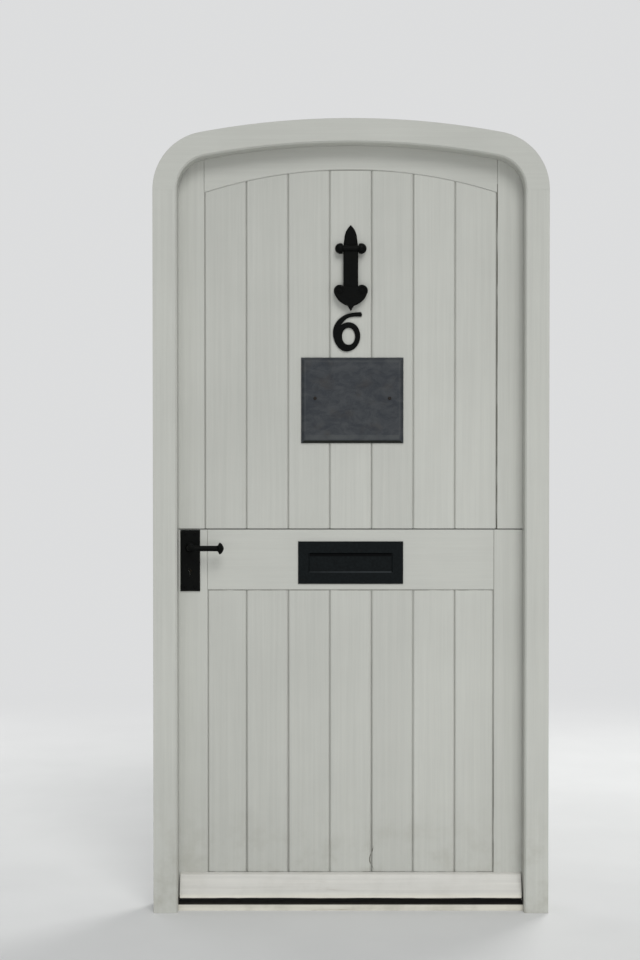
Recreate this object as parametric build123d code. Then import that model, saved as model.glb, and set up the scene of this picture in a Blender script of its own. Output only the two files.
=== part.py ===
from build123d import *
import os
from math import atan2, cos, pi, sin, sqrt

# Stable door: an upper and a lower leaf, each on its own hinges, in an arched timber frame.
# The outside of the door faces -Y, +X is to the right seen from outside, and +Z is up.
# The origin is the middle of the sill's underside. All lengths are in millimetres.

# Opening and frame
opening_width = 842.0  # between the stops of the two jambs
crown_height = 1866.0  # underside of the head at the middle
crown_radius = 1940.0  # flat middle of the arch
shoulder_radius = 82.0  # tight ends of the arch
jamb_face = 58.0
frame_depth = 95.0
rebate_width = 13.0  # how far a closed leaf laps behind the stop
sill_height = 14.0
sill_nose = 24.0  # how far the sill reaches in front of the frame's mid-depth
frame_bevel = 4.0  # on the front arris round the opening

# Leaves
leaf_thickness = 44.0
edge_gap = 3.0  # between a leaf's edge and the rebate
stop_gap = 2.0  # between a closed leaf's face and the stop
foot_gap = 8.0  # under the lower leaf
split_height = 931.0  # where the two leaves meet
meeting_gap = 2.5
upper_stile_face = 64.0  # what shows of an upper stile beside the stop
lower_stile_face = 71.0
top_rail_depth = 58.2  # below the head, at the middle
board_arch_radius = 1170.0  # underside of the top rail
mid_rail_height = 148.0
upper_ledge_height = 120.0
lower_ledge_height = 170.0
brace_width = 90.0
brace_drop = 40.0  # upper brace's top end below the top rail's shoulder
edge_bevel = 2.0  # on the arrises of stiles and rails beside the boards

# Joinery between the members
tenon_length = 15.0
tenon_thickness = 12.0
tenon_inset = 15.0  # shoulder above and below a tenon
joinery_fit = 0.15
head_tenon = (30.0, 20.0, 40.0)  # width, depth and height of the tenon on a jamb

# Boards
board_count = 7
board_thickness = 18.0
board_setback = 2.0  # behind the face of stiles and rails
tongue_length = 8.0
tongue_thickness = 6.0
groove_depth = 10.0
v_joint = 3.0
board_gap = 0.6
lower_gaps = (0.6, 2.0, 2.6, 1.2, 2.4, 1.2, 1.4, 0.8)  # at the foot, where the boards have shrunk
end_gap = 0.3  # at the heads of the boards

# Weatherboard
weather_height = 58.0
weather_reach = 26.0
weather_top_reach = 9.0
weather_lip = 12.0
weather_drop = 8.0  # its top bevel
weather_lift = 16.0  # clear of the sill
weather_end_gap = 3.5
drip_radius = 3.0

# Butt hinges
hinge_height = 100.0
hinge_plate_width = 32.0
hinge_plate_thickness = 2.5
knuckle_radius = 6.0
knuckle_count = 5
knuckle_gap = 0.3
knuckle_clear = 0.2  # between the knuckles and the faces of leaf and jamb
pin_radius = 2.9
pin_head_radius = 5.0
pin_head_height = 3.0
running_fit = 0.05
head_hinge_drop = 62.0  # middle of the highest hinge below the arch's springing
split_hinge_inset = 95.0  # middle of a hinge from the end of its leaf at the split
foot_hinge_rise = 148.0  # middle of the lowest hinge above the lower leaf's foot

# Lock, lever handles and keep
backset = 38.5
lock_centres = 57.0
plate_width = 48.0
plate_height = 150.0
plate_thickness = 5.0
plate_bevel = 1.5
plate_drop = 0.6  # below the lower leaf's top
spindle_drop = 43.0  # below the plate's top
spindle_size = 8.0
case_depth = 62.0
case_thickness = 14.0
case_above = 25.0
case_below = 32.0
forend_thickness = 3.0
forend_width = 20.0
forend_over = 11.0  # past the case, above and below
bolt_throw = 12.0
bolt_hold = 15.0  # what stays in the case when a bolt is out
latch_size = (10.0, 16.0)  # thickness and height
dead_size = (8.0, 26.0)
slide_fit = 0.3
keep_thickness = 2.5
keep_width = 24.0
keep_over = 16.0
keep_clear = 5.0  # between the nose of a bolt that is out and the end of its pocket
keep_play = 1.2
keyhole_radius = 4.0
keyhole_drop = 10.0
keyhole_width = 3.4
keyway_curtain = 2.0  # thickness of the plate in the case that closes the keyway
lever_reach = 84.5
lever_stand = 45.0  # rod's axis in front of the plate
lever_radius = 6.8
lever_bend = 17.0
lever_collar = (12.0, 6.0)  # radius and height
lever_spigot = 8.9
bulb_radius = 14.5
bulb_length = 17.0
bulb_widest = 0.42  # share of its length
bulb_curve = (0.6, 0.75)  # radius part way down its neck and its dome, as shares of the largest
bulb_flat = 3.0  # radius of the flat at its tip
socket_depth = 22.0
plate_screw_inset = (12.0, 10.0)  # from a plate's side and from its end

# Screws that show
screw_head = (4.2, 1.8)  # radius and height
screw_shank = (2.0, 12.0)  # radius and length in the wood
screw_fit = 0.05

# Letterplate
letter_width = 257.0
letter_height = 104.0
letter_thickness = 4.0
letter_bevel = 1.2
letter_drop = 81.0  # its middle below the lower leaf's top
aperture_width = 201.0
aperture_height = 42.5
aperture_bevel = 3.0
flap_thickness = 3.0
flap_bead = (6.0, 10.0)  # depth and height of the bead along its foot, on the inside
flap_lap = 4.0  # of the flap behind the plate
flap_barrel = 2.0
flap_clear = 0.3
flap_trunnion = 1.5
flap_pivot_rise = 1.0  # of the pivot above the flap's lap
ear_thickness = 3.6
ear_wall = 2.0  # around the trunnion
ear_gap = 0.6
slot_margin = 2.0
slot_height_over = 7.0
inner_border = 14.0
inner_thickness = 4.0

# Knocker
knocker_drop = 193.0  # its pivot below the crown of the boards
knocker_plate_thickness = 5.0
spear_height = 59.0  # above the pivot
spear_half = 18.0
spear_side = 8.0  # where its level sides end, above the pivot
spear_shoulder = 26.0  # where its round sides start, above the pivot
spear_neck = (3.5, 55.0)  # half width and level where its blunt tip starts
spear_swell = 3.0  # of its sides between shoulder and neck
tang_half = 16.0
tang_length = 62.0  # below the pivot
barrel_radius = 8.5
barrel_half = 19.0
ear_ball = 13.0
ear_ball_x = 25.5
side_clear = 0.5
knocker_pin_radius = 3.0
arm_thickness = 8.0
shaft_half = 18.0
lobe_x = 27.0
lobe_radius = 14.5
lobe_turn = 0.6  # how far round its side a lobe shows, in radians below the level
lobe_eye = 4.6  # boss in the middle of a scroll
scroll_groove = (9.6, 2.6)  # its outer radius and depth
lobe_drop = 103.0  # lobes' middle below the pivot
heart_neck = 139.0  # where the heart narrows to its tip
heart_bulge = 3.5  # of its sides between a lobe and the neck
arm_length = 152.0
tip_half = 8.0
heart_thickness = 13.0
arm_round = 2.0
stud_radius = 9.0
stud_gap = 0.3
stud_drop = 112.0
pin_sink = 4.0  # of the knocker pin's ends inside its ears
pin_end_gap = 0.5

# Slate plaque
plaque_width = 250.0
plaque_height = 209.0
plaque_thickness = 8.0
plaque_bevel = (8.0, 4.5)  # width and depth
plaque_drop = 562.0  # its middle below the crown of the boards
plaque_shift = 4.0
plaque_screw_span = 182.0
plaque_screw_rise = 5.0

# Stable bolt, on the inside
stable_inset = 67.0  # its axis from the closing stile's inner edge
stable_plate = (38.0, 110.0, 3.0)  # width, height and thickness
stable_rod = 6.0
stable_stand = 7.5
staple_half = 10.0
staple_height = 10.0
staple_low = 8.0
staple_high = 86.0
stable_knob = (5.0, 14.0)
stable_throw = 35.0
stable_bevel = 1.2  # on the ends of rod and knob
stable_fit = 0.1
stable_keep_height = 34.0
stable_keep_play = 0.6
stable_margin = 4.0  # from a leaf's end, and past a staple

# Frame fixings
fixing_radius = 4.0
fixing_sink = (8.0, 4.0)  # radius and depth of the countersink
fixing_low = 400.0
fixing_spacing = 1000.0

# Places that follow from the sizes above
half_opening = opening_width / 2
half_leaf = half_opening + rebate_width - edge_gap
half_rebate = half_opening + rebate_width
half_frame = half_opening + jamb_face
frame_back = frame_depth / 2
frame_front = -frame_back
face = frame_back - leaf_thickness  # outside face of the leaves
stop = face - stop_gap
board_face = face + board_setback
board_back = board_face + board_thickness
tongue_front = board_face + (board_thickness - tongue_thickness) / 2
tongue_back = tongue_front + tongue_thickness
leaf_middle = (face + frame_back) / 2
crown_centre = crown_height - crown_radius
shoulder_x = half_opening - shoulder_radius
spring = crown_centre + sqrt((crown_radius - shoulder_radius) ** 2 - shoulder_x ** 2)
lean = atan2(shoulder_x, spring - crown_centre)  # of the line through the arch's centres
board_crown = crown_height - top_rail_depth
upper_foot = split_height + meeting_gap / 2
lower_top = split_height - meeting_gap / 2
lower_foot = sill_height + foot_gap
mid_rail_foot = lower_top - mid_rail_height
upper_half = half_opening - upper_stile_face
bolt_length = bolt_throw + bolt_hold
lower_half = half_opening - lower_stile_face
pin_x = half_leaf + edge_gap / 2
pin_y = frame_back + knuckle_radius + knuckle_clear
upper_hinges = (spring - head_hinge_drop, upper_foot + split_hinge_inset)
lower_hinges = (lower_top - split_hinge_inset, lower_foot + foot_hinge_rise)
lock_x = backset - half_leaf
stable_x = stable_inset - upper_half
plate_top = lower_top - plate_drop
spindle_z = plate_top - spindle_drop
key_z = spindle_z - lock_centres
letter_z = lower_top - letter_drop
slot_half = aperture_width / 2 + flap_lap + ear_gap + ear_thickness + slot_margin
flap_pivot_z = letter_z + aperture_height / 2 + flap_lap + flap_pivot_rise
flap_pivot_y = face + flap_barrel + flap_clear
slot_top = flap_pivot_z + slot_height_over
slot_foot = letter_z - aperture_height / 2 - slot_height_over
pivot_z = board_crown - knocker_drop
pivot_y = board_face - knocker_plate_thickness - barrel_radius - side_clear
plaque_z = board_crown - plaque_drop
beyond = 5.0  # how far a cutting shape runs past what it cuts


def block(x, y, z):
    """A box between pairs of coordinates, given in either order."""
    low = [min(pair) for pair in (x, y, z)]
    size = [abs(pair[1] - pair[0]) for pair in (x, y, z)]
    return Pos(*low) * Box(*size, align=(Align.MIN, Align.MIN, Align.MIN))


def rod_x(x, y, z, radius):
    return Pos((x[0] + x[1]) / 2, y, z) * Rot(0, 90, 0) * Cylinder(radius, abs(x[1] - x[0]))


def rod_y(x, y, z, radius):
    return Pos(x, (y[0] + y[1]) / 2, z) * Rot(90, 0, 0) * Cylinder(radius, abs(y[1] - y[0]))


def rod_z(x, y, z, radius):
    return Pos(x, y, (z[0] + z[1]) / 2) * Cylinder(radius, abs(z[1] - z[0]))


def upright(x, z):
    return Vector(x, 0, z)


def slab(outline, front, back):
    """A solid between two depths, from an outline drawn in the X-Z plane."""
    return Pos(0, front, 0) * extrude(outline, amount=back - front, dir=(0, 1, 0))


def flat(*points):
    """A straight-sided outline in the X-Z plane."""
    return make_face(Polyline(*[upright(*p) for p in points], close=True))


def opening_outline(grow, foot):
    """The frame's opening, grown outwards all round, from a foot level up over the arch."""
    half, crown, shoulder = half_opening + grow, crown_radius + grow, shoulder_radius + grow
    middle = (pi / 2 - lean) / 2
    tangent = (crown * sin(lean), crown_centre + crown * cos(lean))
    bend = (shoulder_x + shoulder * cos(middle), spring + shoulder * sin(middle))
    edges = [Line(upright(-half, foot), upright(half, foot))]
    for side in (1, -1):
        edges.append(Line(upright(side * half, foot), upright(side * half, spring)))
        edges.append(ThreePointArc(upright(side * half, spring), upright(side * bend[0], bend[1]),
                                   upright(side * tangent[0], tangent[1])))
    edges.append(ThreePointArc(upright(tangent[0], tangent[1]), upright(0, crown_centre + crown),
                               upright(-tangent[0], tangent[1])))
    return make_face(edges)


def under_board_arch(half, foot, grow):
    """The upper panel's outline: straight sides and foot, and a round top grown by an allowance."""
    radius = board_arch_radius + grow
    centre = board_crown - board_arch_radius
    side = centre + sqrt(radius ** 2 - half ** 2)
    return make_face([
        Polyline(upright(-half, side), upright(-half, foot), upright(half, foot), upright(half, side)),
        ThreePointArc(upright(half, side), upright(0, centre + radius), upright(-half, side)),
    ])


def front_edges(solid, level, test):
    """Edges of a solid that lie in one depth plane and pass a test on their direction or place."""
    inside = [e for e in solid.edges() if abs(e.bounding_box().min.Y - level) < 0.01]
    return [e for e in inside if abs(e.bounding_box().max.Y - level) < 0.01 and test(e)]


def is_upright(edge):
    return abs(edge.tangent_at(0.5).Z) > 0.9


def is_at_opening(edge):
    """Whether an edge of the frame's face borders its opening, and not its outside or its feet."""
    room = edge.bounding_box()
    return max(room.max.X, -room.min.X) < half_opening + 1 and room.max.Z < crown_height + 1


# Frame

def frame_ring():
    ring = slab(opening_outline(jamb_face, 0), frame_front, frame_back)
    ring -= slab(opening_outline(0, -beyond), frame_front - beyond, stop)
    ring = chamfer(front_edges(ring, frame_front, is_at_opening), frame_bevel)
    return ring - slab(opening_outline(rebate_width, -beyond), stop, frame_back + beyond)


def jamb_tenon(side, grow):
    """The tenon at a jamb's head, in the thick of the stop."""
    width, depth, height = (v / 2 + grow for v in head_tenon)
    x = side * (half_opening + jamb_face / 2)
    y = (frame_front + stop) / 2
    return block((x - width, x + width), (y - depth, y + depth), (spring - beyond, spring + 2 * height))


def hinge_recess(middle, side):
    """Room for a hinge plate, in the jamb for side 1 and in a leaf's edge for side -1."""
    seat = pin_x + side * edge_gap / 2
    half = hinge_height / 2 + joinery_fit
    return block((seat - side * beyond, seat + side * hinge_plate_thickness),
                 (frame_back - hinge_plate_width - joinery_fit, frame_back + beyond),
                 (middle - half, middle + half))


def fixing_hole(side, z):
    """A hole for a frame screw, through the jamb behind the closed leaf's edge."""
    hole = rod_x((side * (half_rebate - beyond), side * (half_frame + beyond)), leaf_middle, z, fixing_radius)
    sink = Cone(fixing_sink[0], fixing_radius, fixing_sink[1])
    turn = Rot(0, 90 * side, 0)
    return hole + Pos(side * (half_rebate + fixing_sink[1] / 2), leaf_middle, z) * turn * sink


def keep_span(over):
    """The levels between which the keep, grown past the two bolts, lies."""
    return (key_z - dead_size[1] / 2 - over, spindle_z + latch_size[1] / 2 + over)


def keep_plate():
    plate = block((-half_rebate - keep_thickness, -half_rebate),
                  (leaf_middle - keep_width / 2, leaf_middle + keep_width / 2), keep_span(keep_over))
    return plate - keep_holes(-half_rebate - keep_thickness - beyond)


def keep_holes(depth_x):
    """Where the two bolts enter, from in front of the keep to a given depth."""
    holes = Part()
    for size, z in ((latch_size, spindle_z), (dead_size, key_z)):
        half = [v / 2 + keep_play for v in size]
        holes += block((depth_x, -half_rebate + beyond), (leaf_middle - half[0], leaf_middle + half[0]),
                       (z - half[1], z + half[1]))
    return holes


def jamb(ring, side):
    """One jamb: rebated, tenoned at its head, and cut for its ironwork."""
    body = ring & block((0, side * half_frame), (frame_front, frame_back), (0, spring))
    body += jamb_tenon(side, 0) & block((0, side * half_frame), (frame_front, frame_back),
                                        (spring - beyond, spring + head_tenon[2]))
    for z in (fixing_low, fixing_low + fixing_spacing):
        body -= fixing_hole(side, z)
    if side > 0:
        for middle in upper_hinges + lower_hinges:
            body -= hinge_recess(middle, 1)
        return body
    low, high = keep_span(keep_over + joinery_fit)
    width = keep_width / 2 + joinery_fit
    body -= block((-half_rebate - keep_thickness, -half_rebate + beyond),
                  (leaf_middle - width, leaf_middle + width), (low, high))
    return body - keep_holes(-half_leaf - bolt_throw - keep_clear)


def arched_head(ring):
    body = ring & block((-half_frame, half_frame), (frame_front, frame_back),
                        (spring, crown_height + 2 * jamb_face))
    for side in (1, -1):
        body -= jamb_tenon(side, joinery_fit)
    return body


def sill():
    """A thin board between the jambs, wider where it runs into the rebates."""
    body = block((-half_opening, half_opening), (-sill_nose, stop), (0, sill_height))
    body += block((-half_rebate, half_rebate), (stop, frame_back), (0, sill_height))
    nose = [e for e in body.edges() if e.center().Y < 1 - sill_nose and e.center().Z > sill_height - 1]
    return chamfer(nose, edge_bevel)


# Hinges

def knuckle_levels(middle, side):
    """Bottom and top of each knuckle that belongs to one plate of a hinge."""
    pitch = (hinge_height + knuckle_gap) / knuckle_count
    first = middle - hinge_height / 2
    own = range(0 if side > 0 else 1, knuckle_count, 2)
    return [(first + i * pitch, first + (i + 1) * pitch - knuckle_gap) for i in own]


def hinge_plate(middle, side):
    """One plate of a butt hinge with its knuckles: side 1 is on the jamb, side -1 on the leaf."""
    near = pin_x + side * edge_gap / 2
    across = (near, near + side * hinge_plate_thickness)
    plate = block(across, (frame_back - hinge_plate_width, frame_back),
                  (middle - hinge_height / 2, middle + hinge_height / 2))
    for z in knuckle_levels(middle, side):
        plate += block(across, (frame_back - 1, pin_y - 0.6 * knuckle_radius), z)
        plate += rod_z(pin_x, pin_y, z, knuckle_radius)
    bore = (middle - hinge_height, middle + hinge_height)
    return plate - rod_z(pin_x, pin_y, bore, pin_radius + running_fit)


def hinge_pin(middle):
    low, high = middle - hinge_height / 2, middle + hinge_height / 2
    pin = rod_z(pin_x, pin_y, (low - 1, high + 1), pin_radius)
    for end, way in ((low, -1), (high, 1)):
        head = rod_z(pin_x, pin_y, (end, end + way * pin_head_height), pin_head_radius)
        outer = head.edges().sort_by(Axis.Z)[-1 if way > 0 else 0]
        pin += chamfer(outer, pin_head_height / 2)
    return pin


# Members of the two leaves

def rail_tenons(half, y, z):
    """Stub tenons on both ends of a rail or ledge, as one shape through it."""
    middle = (y[0] + y[1]) / 2
    depth = (middle - tenon_thickness / 2, middle + tenon_thickness / 2)
    return block((-half - tenon_length, half + tenon_length), depth, (z[0] + tenon_inset, z[1] - tenon_inset))


def grown(y, z):
    """The same spans, larger by the fit of a mortice."""
    return (y[0] - joinery_fit, y[1] + joinery_fit), (z[0] - joinery_fit, z[1] + joinery_fit)


def board_groove(half, foot, top):
    """The groove for the boards' outer tongues, in both stiles at once."""
    reach = half + groove_depth
    return block((-reach, reach), (tongue_front - joinery_fit, tongue_back + joinery_fit),
                 (foot - beyond, top))


def bevelled(solid, edges):
    return chamfer(edges, edge_bevel) if edges else solid


def stile(blank, side, half, cuts):
    """A stile cut from the leaf's blank, grooved and morticed, with a bevelled inner arris."""
    body = blank & block((side * half, side * half_leaf), (face, frame_back), (0, 2 * crown_height))
    inner = front_edges(body, face, lambda e: abs(e.center().X - side * half) < 0.01)
    body = bevelled(body, inner)
    for cut in cuts:
        body -= cut
    return body


def ledge_span(foot, height):
    return (board_back, frame_back), (foot, foot + height)


def ledge(half, foot, height):
    y, z = ledge_span(foot, height)
    return block((-half, half), y, z) + rail_tenons(half, y, z)


def mortice(half, y, z):
    y, z = grown(y, z)
    return rail_tenons(half + joinery_fit, y, z)


def brace(half, low, high, panel):
    """A diagonal behind the boards, from the hinge side's foot up to the closing side."""
    run, rise = 2 * half - brace_width, high - low
    half_across = brace_width / 2 * sqrt(run ** 2 + rise ** 2) / rise
    start, end = half - brace_width / 2, -half + brace_width / 2
    slope = run / rise
    outline = flat((start - half_across + slope * beyond, low - beyond),
                   (start + half_across + slope * beyond, low - beyond),
                   (end + half_across - slope * beyond, high + beyond),
                   (end - half_across - slope * beyond, high + beyond))
    return slab(outline, board_back, frame_back) & panel


def joint_places(half):
    """Joints between boards: the two leaves share the inner ones, and the outer boards take the rest."""
    pitch = 2 * upper_half / board_count
    inner = [(i - board_count / 2) * pitch for i in range(1, board_count)]
    return [-half] + inner + [half]


def board(index, joints, gaps, foot, top, panel, tongue_panel):
    """One tongued and grooved board with V-jointed edges, tapered where its joints have opened."""
    last = index == len(joints) - 2
    left, right = joints[index], joints[index + 1]
    at_top = (left + board_gap / 2, right - board_gap / 2)
    at_foot = (left + gaps[index] / 2, right - gaps[index + 1] / 2)
    body = slab(flat((at_foot[0], foot), (at_foot[1], foot), (at_top[1], top), (at_top[0], top)),
                board_face, board_back) & panel
    body = chamfer(front_edges(body, board_face, is_upright), v_joint)
    reach = tongue_length if last else 0
    core = flat((at_foot[0] - tongue_length, foot), (at_foot[1] + reach, foot),
                (at_top[1] + reach, top), (at_top[0] - tongue_length, top))
    body += slab(core, tongue_front, tongue_back) & tongue_panel
    if last:
        return body
    groove = flat((at_foot[1] - groove_depth, foot - beyond), (at_foot[1] + beyond, foot - beyond),
                  (at_top[1] + beyond, top + beyond), (at_top[1] - groove_depth, top + beyond))
    return body - slab(groove, tongue_front - joinery_fit, tongue_back + joinery_fit)


# Upper leaf

def top_rail_span():
    """Levels of the top rail's end shoulders, under the leaf's outline."""
    low = board_crown - board_arch_radius + sqrt(board_arch_radius ** 2 - upper_half ** 2)
    grow = rebate_width - edge_gap
    high = crown_centre + sqrt((crown_radius + grow) ** 2 - upper_half ** 2)
    return low, high


def upper_leaf():
    blank = slab(opening_outline(rebate_width - edge_gap, upper_foot), face, frame_back)
    low, high = top_rail_span()
    ledge_y, ledge_z = ledge_span(upper_foot, upper_ledge_height)
    rail_y, rail_z = (face, frame_back), (low, high - tenon_inset)
    cuts = [board_groove(upper_half, upper_foot, high - tenon_inset),
            mortice(upper_half, ledge_y, ledge_z), mortice(upper_half, rail_y, rail_z)]
    hinge_cuts = [hinge_recess(middle, -1) for middle in upper_hinges]
    rail = blank & block((-upper_half, upper_half), (face, frame_back), (low - beyond, 2 * crown_height))
    rail -= slab(under_board_arch(upper_half, 0, 0), face, frame_back)
    rail = bevelled(rail, front_edges(rail, face, lambda e: e.geom_type == GeomType.CIRCLE
                                      and e.bounding_box().max.Z < board_crown + 1))
    rail -= slab(under_board_arch(upper_half, 0, groove_depth),
                 tongue_front - joinery_fit, tongue_back + joinery_fit)
    rail += rail_tenons(upper_half, rail_y, rail_z) - block((-upper_half, upper_half), rail_y, rail_z)
    panel = slab(under_board_arch(upper_half, upper_foot, -end_gap), board_face, board_back)
    wide = upper_half + tongue_length
    tongue_panel = slab(under_board_arch(wide, upper_foot, tongue_length), board_face, board_back)
    inside = slab(under_board_arch(upper_half, upper_foot + upper_ledge_height, 0), board_back, frame_back)
    nodes = {
        "upper_hinge_stile": stile(blank, 1, upper_half, cuts + hinge_cuts),
        "upper_closing_stile": stile(blank, -1, upper_half, cuts),
        "arched_top_rail": rail,
        "upper_bottom_ledge": ledge(upper_half, upper_foot, upper_ledge_height),
        "upper_brace": brace(upper_half, upper_foot + upper_ledge_height, low - brace_drop, inside),
    }
    joints = joint_places(upper_half)
    pilots = [rod_y(x, (board_face - 1, board_face + screw_shank[1]), z, screw_shank[0] + screw_fit)
              for x, z in plaque_screw_places()]
    for i in range(board_count):
        one = board(i, joints, [board_gap] * (board_count + 1), upper_foot, board_crown + groove_depth,
                    panel, tongue_panel)
        for pilot in pilots:
            one -= pilot
        nodes[f"upper_board_{i + 1}"] = one
    return nodes


# Lower leaf

def lower_leaf():
    blank = block((-half_leaf, half_leaf), (face, frame_back), (lower_foot, lower_top))
    ledge_y, ledge_z = ledge_span(lower_foot, lower_ledge_height)
    rail_y, rail_z = (face, frame_back), (mid_rail_foot, lower_top)
    cuts = [board_groove(lower_half, lower_foot, mid_rail_foot + groove_depth),
            mortice(lower_half, ledge_y, ledge_z), mortice(lower_half, rail_y, rail_z)]
    hinge_cuts = [hinge_recess(middle, -1) for middle in lower_hinges]
    rail = block((-lower_half, lower_half), rail_y, rail_z)
    rail = bevelled(rail, front_edges(rail, face, lambda e: e.center().Z < mid_rail_foot + 1))
    rail += rail_tenons(lower_half, rail_y, rail_z)
    rail -= block((-lower_half - beyond, lower_half + beyond),
                  (tongue_front - joinery_fit, tongue_back + joinery_fit),
                  (mid_rail_foot - beyond, mid_rail_foot + groove_depth))
    rail -= block((-slot_half, slot_half), (face - beyond, frame_back + beyond), (slot_foot, slot_top))
    inside = block((-lower_half, lower_half), (board_back, frame_back),
                   (lower_foot + lower_ledge_height, mid_rail_foot))
    panel = block((-lower_half, lower_half), (board_face, board_back), (lower_foot, mid_rail_foot - end_gap))
    wide = lower_half + tongue_length
    tongue_panel = block((-wide, wide), (board_face, board_back), (lower_foot, mid_rail_foot + tongue_length))
    nodes = {
        "lower_hinge_stile": stile(blank, 1, lower_half, cuts + hinge_cuts),
        "lower_closing_stile": stile(blank, -1, lower_half, cuts + lock_cuts()),
        "mid_rail": rail,
        "lower_bottom_ledge": ledge(lower_half, lower_foot, lower_ledge_height),
        "lower_brace": brace(lower_half, lower_foot + lower_ledge_height, mid_rail_foot, inside),
        "weatherboard": weatherboard(),
    }
    joints = joint_places(lower_half)
    for i in range(board_count):
        nodes[f"lower_board_{i + 1}"] = board(i, joints, lower_gaps, lower_foot,
                                              mid_rail_foot + groove_depth, panel, tongue_panel)
    return nodes


def weatherboard():
    """A sloping board across the foot of the lower leaf, with a lip and a drip groove under it."""
    foot = sill_height + weather_lift
    top = foot + weather_height
    section = [(face, foot), (face - weather_reach, foot), (face - weather_reach, foot + weather_lip),
               (face - weather_top_reach, top - weather_drop / 2), (face, top)]
    half = half_opening - weather_end_gap
    outline = make_face(Polyline(*[Vector(-half, y, z) for y, z in section], close=True))
    body = extrude(outline, amount=2 * half, dir=(1, 0, 0))
    drip_y = face - weather_reach + 2.5 * drip_radius
    return body - rod_x((-half - 1, half + 1), drip_y, foot, drip_radius)


# Lock and lever handles

def plate_screw_places():
    dx = plate_width / 2 - plate_screw_inset[0]
    ends = (plate_top - plate_screw_inset[1], plate_top - plate_height + plate_screw_inset[1])
    return [(lock_x + way * dx, z) for z in ends for way in (-1, 1)]


def keyhole(front, back):
    hole = rod_y(lock_x, (front, back), key_z, keyhole_radius)
    return hole + block((lock_x - keyhole_width / 2, lock_x + keyhole_width / 2), (front, back),
                        (key_z - keyhole_drop, key_z))


def bolt_channel(size, z, fit):
    """The way of a bolt through forend and case, with a fit around it."""
    half = [v / 2 + fit for v in size]
    return block((-half_leaf - beyond, -half_leaf + bolt_length + fit),
                 (leaf_middle - half[0], leaf_middle + half[0]), (z - half[1], z + half[1]))


def lock_body(fit):
    """The outside of the lock: a case behind a forend that lies flush in the leaf's edge."""
    low, high = key_z - case_below, spindle_z + case_above
    half = case_thickness / 2 + fit
    body = block((-half_leaf, -half_leaf + case_depth + fit), (leaf_middle - half, leaf_middle + half),
                 (low - fit, high + fit))
    wide = forend_width / 2 + fit
    return body + block((-half_leaf, -half_leaf + forend_thickness), (leaf_middle - wide, leaf_middle + wide),
                        (low - forend_over - fit, high + forend_over + fit))


def lock_case():
    body = lock_body(0)
    body -= bolt_channel(latch_size, spindle_z, slide_fit)
    body -= bolt_channel(dead_size, key_z, slide_fit)
    body -= rod_y(lock_x, (face, frame_back), spindle_z, spindle_size)
    for outside, way in ((face, -1), (frame_back, 1)):
        body -= keyhole(outside, leaf_middle + way * keyway_curtain / 2)
    return body


def lock_cuts():
    """What the lock, the spindle, the key and the plates' screws need in the closing stile."""
    through = (face - beyond, frame_back + beyond)
    cuts = [lock_body(joinery_fit) + block((-half_leaf - beyond, -half_leaf + 1),
                                           (leaf_middle - 1, leaf_middle + 1), (key_z, spindle_z)),
            rod_y(lock_x, through, spindle_z, spindle_size + 1), keyhole(*through)]
    radius = screw_shank[0] + screw_fit
    for x, z in plate_screw_places():
        cuts.append(rod_y(x, (face - 1, face + screw_shank[1]), z, radius))
        cuts.append(rod_y(x, (frame_back - screw_shank[1], frame_back + 1), z, radius))
    return cuts


def backplate(level, way):
    """A plate under a lever: level is the leaf's face that it lies on, and way points off it."""
    outer = level + way * plate_thickness
    body = block((lock_x - plate_width / 2, lock_x + plate_width / 2), (level, outer),
                 (plate_top - plate_height, plate_top))
    body = chamfer(front_edges(body, outer, lambda e: True), plate_bevel)
    through = (level - way, outer + way)
    body -= rod_y(lock_x, through, spindle_z, lever_spigot + 0.1)
    for x, z in plate_screw_places():
        body -= rod_y(x, through, z, screw_shank[0] + screw_fit)
    return body - keyhole(*through)


def screw(x, z, level, way, thickness):
    """A round-headed screw through a plate: level is the face under the plate."""
    outer = level + way * thickness
    head = rod_y(x, (outer, outer + way * screw_head[1]), z, screw_head[0])
    rim = front_edges(head, outer + way * screw_head[1], lambda e: True)
    head = chamfer(rim, screw_head[1] * 0.6)
    return head + rod_y(x, (level - way * (screw_shank[1] - 0.5), outer), z, screw_shank[0])


def lever(level, way):
    """A lever with a turned bulb at its end: level is the plate's outer face, and way points off it."""
    radius, height = lever_collar
    start = level + way * knuckle_gap
    axis_y = level + way * lever_stand
    end = lock_x + lever_reach - bulb_length + 2
    path = FilletPolyline((lock_x, start, spindle_z), (lock_x, axis_y, spindle_z), (end, axis_y, spindle_z),
                          radius=lever_bend)
    section = Plane(origin=path @ 0, z_dir=path % 0) * Circle(lever_radius)
    body = sweep(section, path)
    collar = rod_y(lock_x, (start, start + way * height), spindle_z, radius)
    body += chamfer(front_edges(collar, start + way * height, lambda e: True), 2)
    body += rod_y(lock_x, (level - way * (plate_thickness - 1), start), spindle_z, lever_spigot)
    body += bulb(axis_y)
    half = spindle_size / 2 + 0.1
    return body - block((lock_x - half, lock_x + half),
                        (level - way * plate_thickness, level + way * (socket_depth + 0.2)),
                        (spindle_z - half, spindle_z + half))


def bulb(axis_y):
    tip = lock_x + lever_reach
    root = tip - bulb_length
    widest = root + bulb_widest * bulb_length

    def at(x, radius):
        return Vector(x, axis_y, spindle_z + radius)

    neck = ThreePointArc(at(root, lever_radius), at(0.4 * root + 0.6 * widest, bulb_curve[0] * bulb_radius),
                         at(widest, bulb_radius))
    dome = ThreePointArc(at(widest, bulb_radius), at(0.4 * widest + 0.6 * tip, bulb_curve[1] * bulb_radius),
                         at(tip, bulb_flat))
    outline = make_face([Line(at(root, 0), at(root, lever_radius)), neck, dome,
                         Line(at(tip, bulb_flat), at(tip, 0)), Line(at(tip, 0), at(root, 0))])
    return revolve(outline, Axis((root, axis_y, spindle_z), (1, 0, 0)), 360)


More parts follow.
